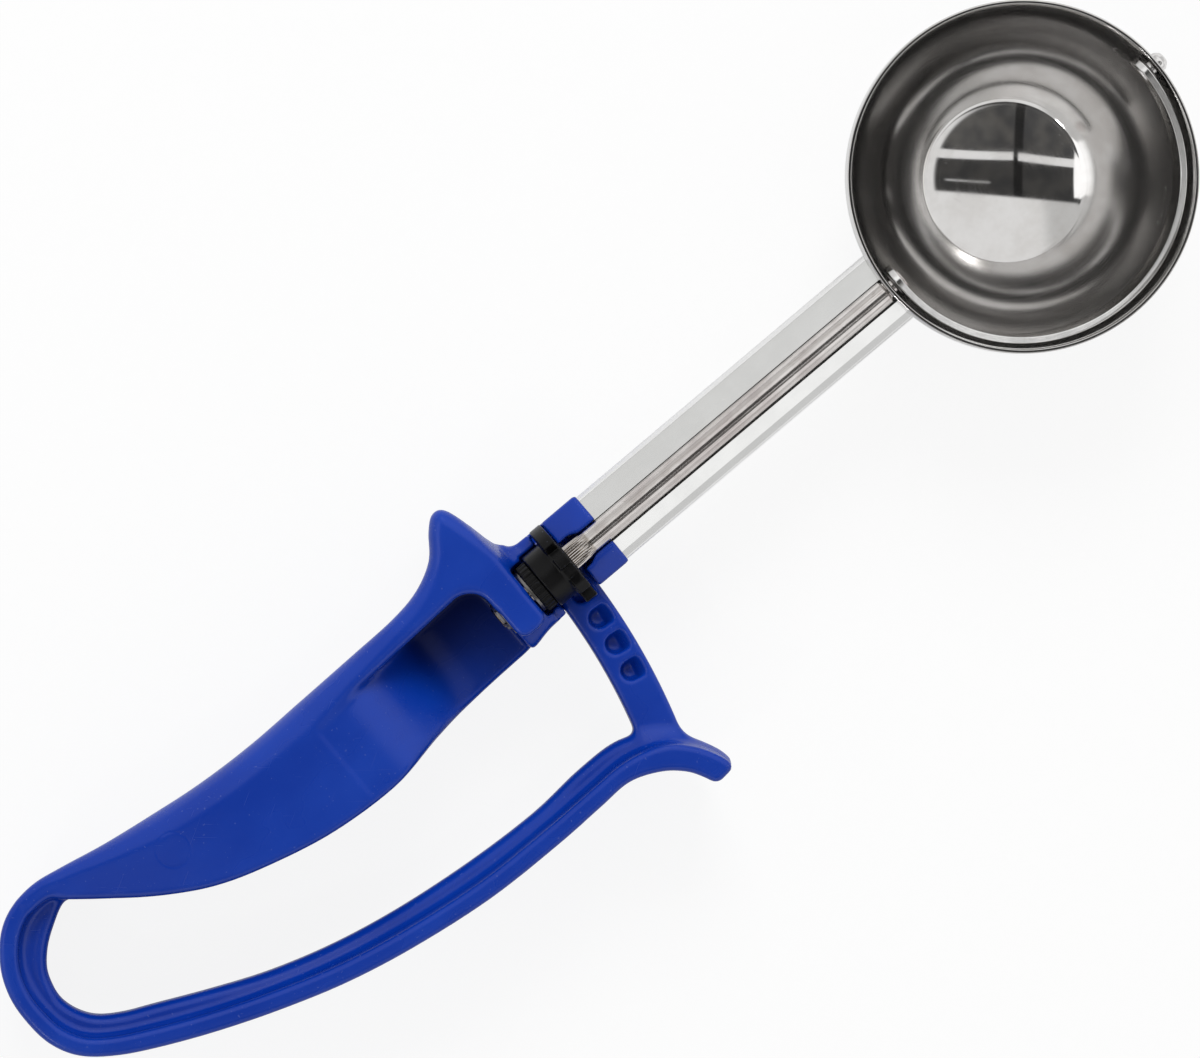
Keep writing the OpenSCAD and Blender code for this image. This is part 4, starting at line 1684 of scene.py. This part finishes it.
@dataclass
class ShankChannel:
    """The open steel channel between grip and bowl.

    A wing is the fall of its inner part, the place of its knee and the fall
    of its outer part.
    """

    half_w: float = 6.3
    top: float = -0.6
    height: float = 12.7
    wall: float = 0.9
    corner: float = 2.6
    slot_left: float = 2.12
    slot_right: float = 2.42
    wing_out: float = 6.1
    wing_drop: float = 1.2
    left_wing: tuple = (0.404, 5.0, 0.404)
    right_wing: tuple = (0.52, 4.75, 0.85)
    back: float = 6.9
    bowl_r: float = 28.52
    rings: int = 25

    def build(self) -> None:
        """Builds the channel, with its end cut to the bowl's roundness."""
        section = self._section()
        across, up = section.T
        reach = REACH - np.sqrt(np.maximum(self.bowl_r**2 - across**2 - up**2, 0))
        shares = np.linspace(0, 1, self.rings)
        rings = [np.stack([self.back + (reach - self.back) * t, across, up], 1) for t in shares]
        count = len(section)
        faces = bands(self.rings, count)
        for first in (0, (self.rings - 1) * count):
            last = first + count - 1
            faces += [[first + j, first + j + 1, last - j - 1, last - j] for j in range(count // 2 - 1)]
        skin = Skin(np.concatenate(rings), faces)
        piece("shank", skin, SHEET_STEEL, "shank_channel", "handle", sharp=35.0)

    def _section(self) -> np.ndarray:
        """The channel's section, outside and then back along the inside.

        Returns:
            Its points in Y and Z.
        """
        sides = ((self.slot_left, self.left_wing), (self.slot_right, self.right_wing))
        out, right = (self._half(0.0, lip, wing) for lip, wing in sides)
        inner, inner_right = (self._half(self.wall, lip, wing) for lip, wing in sides)
        flip = (-1, 1)
        return np.concatenate([out, (right * flip)[::-1], inner_right * flip, inner[::-1]])

    def _half(self, depth: float, lip: float, wing: tuple[float, float, float]) -> np.ndarray:
        """One side of the section, from the slot's lip to the bottom's middle.

        Args:
            depth: How far below the outer skin.
            lip: Half width of the slot on this side.
            wing: The wing on this side.

        Returns:
            The points of the half section.
        """
        fall, knee, outer_fall = wing
        low = self.top - self.height + depth
        out, side = self.wing_out - depth * 0.7, self.half_w - depth
        at_lip = self.top - depth * 1.05
        at_knee = at_lip - fall * (knee - lip)
        at_edge = at_knee - outer_fall * (out - knee)
        return rounded_path([
            (lip, at_lip, 0), (knee, at_knee, 0.8), (out, at_edge, 1.0 - depth * 0.6),
            (side, at_edge - self.wing_drop, 1.2), (side, low, self.corner - depth), (0, low, 0),
        ], 10)


# --- Bowl and blade --------------------------------------------------------


@dataclass
class ScoopBowl:
    """The spun steel bowl with its crease and flatter bottom."""

    radius: float = 27.6
    wall: float = 0.9
    rim: float = 3.6
    rim_edge: float = 0.6
    flare: float = 0.3
    crease_r: float = 13.3
    dish_depth: float = 2.7
    groove: float = 0.02
    groove_w: float = 0.22

    def build(self) -> None:
        """Builds the bowl and fixes it to the handle."""
        low, outer_r = self.rim - self.rim_edge, self.radius + self.wall
        lip = rounded_path([
            (low, self.radius + 0.1, 0), (self.rim, self.radius + self.flare, 0.12),
            (self.rim, outer_r, 0.22), (low, outer_r, 0),
        ], 6)
        inner, outer = self._profile(0.0), self._profile(self.wall)
        inner[:, 0] -= self.groove * np.exp(-((inner[:, 1] - self.crease_r) / self.groove_w) ** 2)
        skin = turned(np.concatenate([inner, lip, outer[::-1]]), 256, upright=True).moved(REACH)
        piece("bowl_shell", skin, SPUN_STEEL, "bowl", "handle", sharp=28.0)

    def _profile(self, grow: float) -> np.ndarray:
        """Half a section, from the bottom's middle up to the rim.

        Args:
            grow: How far outside the inner skin.

        Returns:
            Its points as (height, radius).
        """
        deep = math.sqrt(self.radius**2 - self.crease_r**2)
        dish_r = (self.crease_r**2 + self.dish_depth**2) / (2 * self.dish_depth)
        centre = -deep - self.dish_depth + dish_r
        dish_r, ball_r = dish_r + grow, self.radius + grow
        meet = (ball_r**2 - dish_r**2 + centre**2) / (2 * centre)
        crease = math.sqrt(ball_r**2 - meet**2)
        dish = np.linspace(0, math.asin(crease / dish_r), 40)
        ball = np.linspace(math.asin(crease / ball_r), math.pi / 2, 72)[1:]
        wall = np.linspace(0, self.rim - self.rim_edge, 5)[1:-1]
        return np.concatenate([
            np.stack([centre - dish_r * np.cos(dish), dish_r * np.sin(dish)], 1),
            np.stack([-ball_r * np.cos(ball), ball_r * np.sin(ball)], 1),
            np.stack([wall, np.full(len(wall), ball_r)], 1),
        ])


@dataclass
class ScraperBlade:
    """The blade that sweeps the bowl, its spacers and the far rivet."""

    outer: float = 26.75
    thick: float = 1.1
    width: float = 6.0
    rest: float = 7.5
    edge: float = 0.15
    spacer_r: float = 2.5
    spacer_t: float = 0.35
    spacer_edge: float = 0.1
    bowl_r: float = 28.5
    head_r: float = 1.65
    head_h: float = 1.7

    def build(self) -> None:
        """Builds the blade, two spacers and the rivet."""
        piece("blade_band", self._band(), BLADE_STEEL, "scraper_blade", "rotor", sharp=12.0)
        near, far = (
            washer(x, x + self.spacer_t, JOURNAL_R, self.spacer_r, self.spacer_edge, 48, 3)
            for x in (REACH - self.outer - self.spacer_t, REACH + self.outer)
        )
        piece("blade_washers", near.joined(far), SHADE_DARKENED_STEEL, "blade_spacers", "rotor")
        start, end = REACH + self.outer - self.thick - 0.25, REACH + self.bowl_r + self.head_h
        seat = REACH + self.bowl_r - 0.3
        path = rounded_path([
            (start, 0, 0), (start, JOURNAL_R, 0.3), (seat, JOURNAL_R, 0),
            (seat, self.head_r, 0.1), (end - 0.9, self.head_r, 0.7), (end, self.head_r * 0.55, 0.7),
            (end, 0, 0),
        ], 6)
        piece("rivet_nub", turned(path, 64), TURNED_STEEL, "far_rivet", "handle")

    def _band(self) -> Skin:
        """A strip with round ends, bent to a half circle and tilted to its rest.

        Returns:
            Its skin.
        """
        middle = self.outer - self.thick / 2
        half_w, half_t = self.width / 2, self.thick / 2
        run = math.pi * middle
        ends = [-half_w * math.cos(a) for a in np.linspace(0.12, math.pi / 2, 14)]
        places = ends + list(np.linspace(0, run, 121)[1:-1]) + [run - p for p in ends[::-1]]
        rings = []
        for place in places:
            past = max(-place, place - run, 0)
            half = math.sqrt(max(half_w**2 - past * past, 0))
            edge = min(self.edge, half * 0.45)
            ring = rounded_path([
                (0, -half_t, 0), (half, -half_t, edge), (half, half_t, edge), (-half, half_t, edge),
                (-half, -half_t, edge), (0, -half_t, 0),
            ], 3)[:-1]
            angle, reach = place / middle, middle + ring[:, 1]
            rings.append(np.stack([reach * math.cos(angle), -reach * math.sin(angle), ring[:, 0]], 1))
        count, last = len(rings[0]), (len(rings) - 1) * len(rings[0])
        caps = [list(range(count))[::-1], list(range(last, last + count))]
        tilt = Matrix.Rotation(math.radians(self.rest), 3, "X")
        points = np.concatenate(rings) @ np.array(tilt).T
        return Skin(points, bands(len(rings), count) + caps).moved(REACH)


# --- Studio ----------------------------------------------------------------


@dataclass(frozen=True)
class Lamp:
    """A square lamp that faces the object; lengths in metres, power in watts."""

    name: str
    place: tuple
    size: float
    power: float
    mirrored: bool

    def build(self) -> None:
        """Hangs the lamp."""
        light = bpy.data.lights.new(self.name, "AREA")
        light.size, light.energy = self.size, self.power
        lamp = bpy.data.objects.new(self.name, light)
        lamp.location = self.place
        lamp.rotation_euler = (-Vector(self.place)).to_track_quat("-Z", "Y").to_euler()
        lamp.visible_glossy = self.mirrored
        bpy.context.scene.collection.objects.link(lamp)


@dataclass(frozen=True)
class Room:
    """A white room with a dark ceiling, a lamp bar and a bright doorway in it.

    Only glossy surfaces show it; it lights the object evenly, and the camera
    sees white. A pair of values is where a form ends and where it is full, on
    the sine of the angle from the camera's axis.
    """

    spin: float
    fill: float = 0.58
    white: Colour = (1.0, 1.0, 1.0, 1.0)
    wall: Colour = (0.70, 0.70, 0.695, 1.0)
    low_wall: Colour = (0.62, 0.62, 0.62, 1.0)
    dark: Colour = (0.08, 0.08, 0.082, 1.0)
    less_dark: Colour = (0.14, 0.136, 0.13, 1.0)
    darker: Colour = (0.03, 0.03, 0.03, 1.0)
    darkest: Colour = (0.012, 0.012, 0.012, 1.0)
    daylight: Colour = (1.5, 1.5, 1.5, 1.0)
    middle: float = 0.04
    round_edge: tuple = (0.69, 0.66)
    front_edge: tuple = (0.19, 0.16)
    front_lean: float = 0.094
    bar_up: float = -0.215
    bar_lean: float = 0.14
    bar_edge: tuple = (0.043, 0.033)
    bar_gap: tuple = (0.018, 0.028)
    strip: tuple = (0.05, 0.43)
    strip_lean: float = 0.06
    strip_edge: tuple = (0.012, 0.006)
    strip_end: tuple = (0.22, 0.17)

    def build(self) -> None:
        """Makes the world."""
        world = bpy.data.worlds.new("white room")
        bpy.context.scene.world = world
        world.use_nodes = True
        graph = Graph(world.node_tree)
        even = (self.fill, self.fill, self.fill, 1.0)
        colour = graph.mix(graph.ray("Is Glossy Ray"), even, self._mirrored(graph))
        colour = graph.mix(graph.ray("Is Camera Ray"), colour, self.white)
        glow = graph.node("ShaderNodeBackground", values={"Color": colour, "Strength": 1.0})
        graph.add("ShaderNodeOutputWorld", values={"Surface": glow})

    def _mirrored(self, graph: Graph) -> Wire:
        """Draws the room.

        Args:
            graph: Tree that the nodes go to.

        Returns:
            The colour that comes from each direction.
        """
        way = graph.node("ShaderNodeTexCoord", output="Generated")
        c, s = math.cos(math.radians(self.spin)), math.sin(math.radians(self.spin))
        up = graph.vector("DOT_PRODUCT", way, (s, c, 0.0), "Value")
        right = graph.vector("DOT_PRODUCT", way, (c, -s, 0.0), "Value")
        _, ahead, height = graph.split(way)
        in_round = far_off(right - self.middle, up).ramp(*self.round_edge)
        ceiling = in_round * (up + right * self.front_lean).ramp(*self.front_edge) * height.ramp(0.0, 0.1)
        side = ahead.ramp(-0.45, -0.5).larger(right.ramp(-0.36, -0.2))
        light = graph.mix(side, self.wall, self.white)
        light = graph.mix(height.ramp(0.32, 0.22), light, self.low_wall)
        colour = graph.mix(ceiling, light, self._ceiling(graph, right, up))
        door = right.ramp(-0.535, -0.545) * up.ramp(0.19, 0.17) * up.ramp(-0.42, -0.40)
        return graph.mix(door * height.ramp(0.5, 0.6), colour, self.daylight)

    def _ceiling(self, graph: Graph, right: Wire, up: Wire) -> Wire:
        """The ceiling, with dark patches, a post, a lamp bar and a faint strip.

        Args:
            graph: Tree that the nodes go to.
            right: How far to the camera's right a direction points.
            up: How far up in the camera's view a direction points.

        Returns:
            Its colour.
        """
        patches = graph.noise(graph.join(right, up, 0.0), 5.0, 1.5)
        colour = graph.mix(patches.ramp(0.3, 0.7), self.dark, self.less_dark)
        colour = graph.mix(up.ramp(-0.22, -0.16) * 0.6, colour, self.darker)
        colour = graph.mix(right.near(-0.035, 0.05, 0.035) * 0.8, colour, self.darkest)
        line = up - (right * -1.0).larger(0.0) * self.bar_lean
        bar = line.near(self.bar_up, *self.bar_edge) * right.near(-0.01, *self.bar_gap)
        place_up, place_right = self.strip
        strip = (up + right * self.strip_lean).near(place_up, *self.strip_edge)
        strip = strip * right.near(place_right, *self.strip_end)
        return graph.mix(bar.larger(strip * 0.5), colour, self.white)


@dataclass
class Studio:
    """Floor, light, surroundings and camera.

    The camera starts straight above, and spin and tilts, in degrees, turn it
    about Z, Y and X. The floor's half length and the lamps are in metres.
    """

    distance: float = 1150.0
    target: tuple = (8.115, 0.456, 0.0)
    spin: float = 40.156
    side_tilt: float = 1.5555
    fore_tilt: float = 3.1291
    lens: float = 214.02
    sensor: float = 36.0
    floor_half: float = 1.6
    floor_gap: float = 0.02
    low_front: tuple = (96.8, -27.78)
    low_back: tuple = (-113.5, -21.5)
    lamps: tuple = (
        Lamp("soft_key_lamp", (0.58, 0.70, 0.85), 0.6, 8.5, mirrored=False),
        Lamp("small_glint_lamp", (-0.68, -0.15, 0.84), 0.1, 0.7, mirrored=True),
    )

    def build(self) -> None:
        """Sets up everything round the object."""
        self._camera()
        self._floor()
        Room(self.spin).build()
        for lamp in self.lamps:
            lamp.build()
        bpy.context.scene.view_settings.view_transform = "Standard"

    def _axes(self) -> np.ndarray:
        """The camera's directions.

        Returns:
            Right, up and back as rows.
        """
        angles = [math.radians(angle) for angle in (self.spin, self.side_tilt, self.fore_tilt)]
        (c, s), (ca, sa), (cb, sb) = ((math.cos(angle), math.sin(angle)) for angle in angles)
        spin = np.array([[c, -s, 0], [s, c, 0], [0, 0, 1]])
        side = np.array([[ca, 0, sa], [0, 1, 0], [-sa, 0, ca]])
        fore = np.array([[1, 0, 0], [0, cb, -sb], [0, sb, cb]])
        return spin @ side @ fore

    def _camera(self) -> None:
        """The camera, nearly straight above and far away."""
        axes = self._axes()
        lens = bpy.data.cameras.new("camera")
        lens.lens, lens.sensor_width = self.lens, self.sensor
        lens.clip_start, lens.clip_end = 0.05, 20.0
        camera = bpy.data.objects.new("camera", lens)
        target = (np.array(self.target) + (0, 0, AXIS_H)) * MM
        place = Matrix(axes.T.tolist()).to_4x4()
        place.translation = Vector(target + axes[2] * self.distance * MM)
        camera.matrix_world = place
        bpy.context.scene.collection.objects.link(camera)
        bpy.context.scene.camera = camera

    def _floor(self) -> None:
        """Paper under the bowl's bottom and the loop's underside."""
        (front_x, front_z), (back_x, back_z) = self.low_front, self.low_back
        slope = (front_z - back_z) / (front_x - back_x)
        half = self.floor_half
        corners = []
        for x, y in ((-half, -half), (half, -half), (half, half), (-half, half)):
            z = (back_z + AXIS_H - self.floor_gap) * MM + slope * (x - back_x * MM)
            corners.append((x, y, z))
        mesh = bpy.data.meshes.new("paper_floor")
        mesh.from_pydata(corners, [], [(0, 1, 2, 3)])
        mesh.materials.append(FLOOR.build())
        floor = bpy.data.objects.new("paper_floor", mesh)
        bpy.context.scene.collection.objects.link(floor)


def main() -> None:
    """Builds every sub-assembly in order."""
    logging.basicConfig(level=logging.INFO, format="%(name)s %(message)s")
    kinds = (Studio, SqueezeHandle, Pinion, DriveRod, ShankChannel, ScoopBowl, ScraperBlade)
    for kind in kinds:
        LOG.info("building %s", kind.__name__)
        kind().build()
    bpy.context.view_layer.update()


if __name__ == "__main__":
    main()
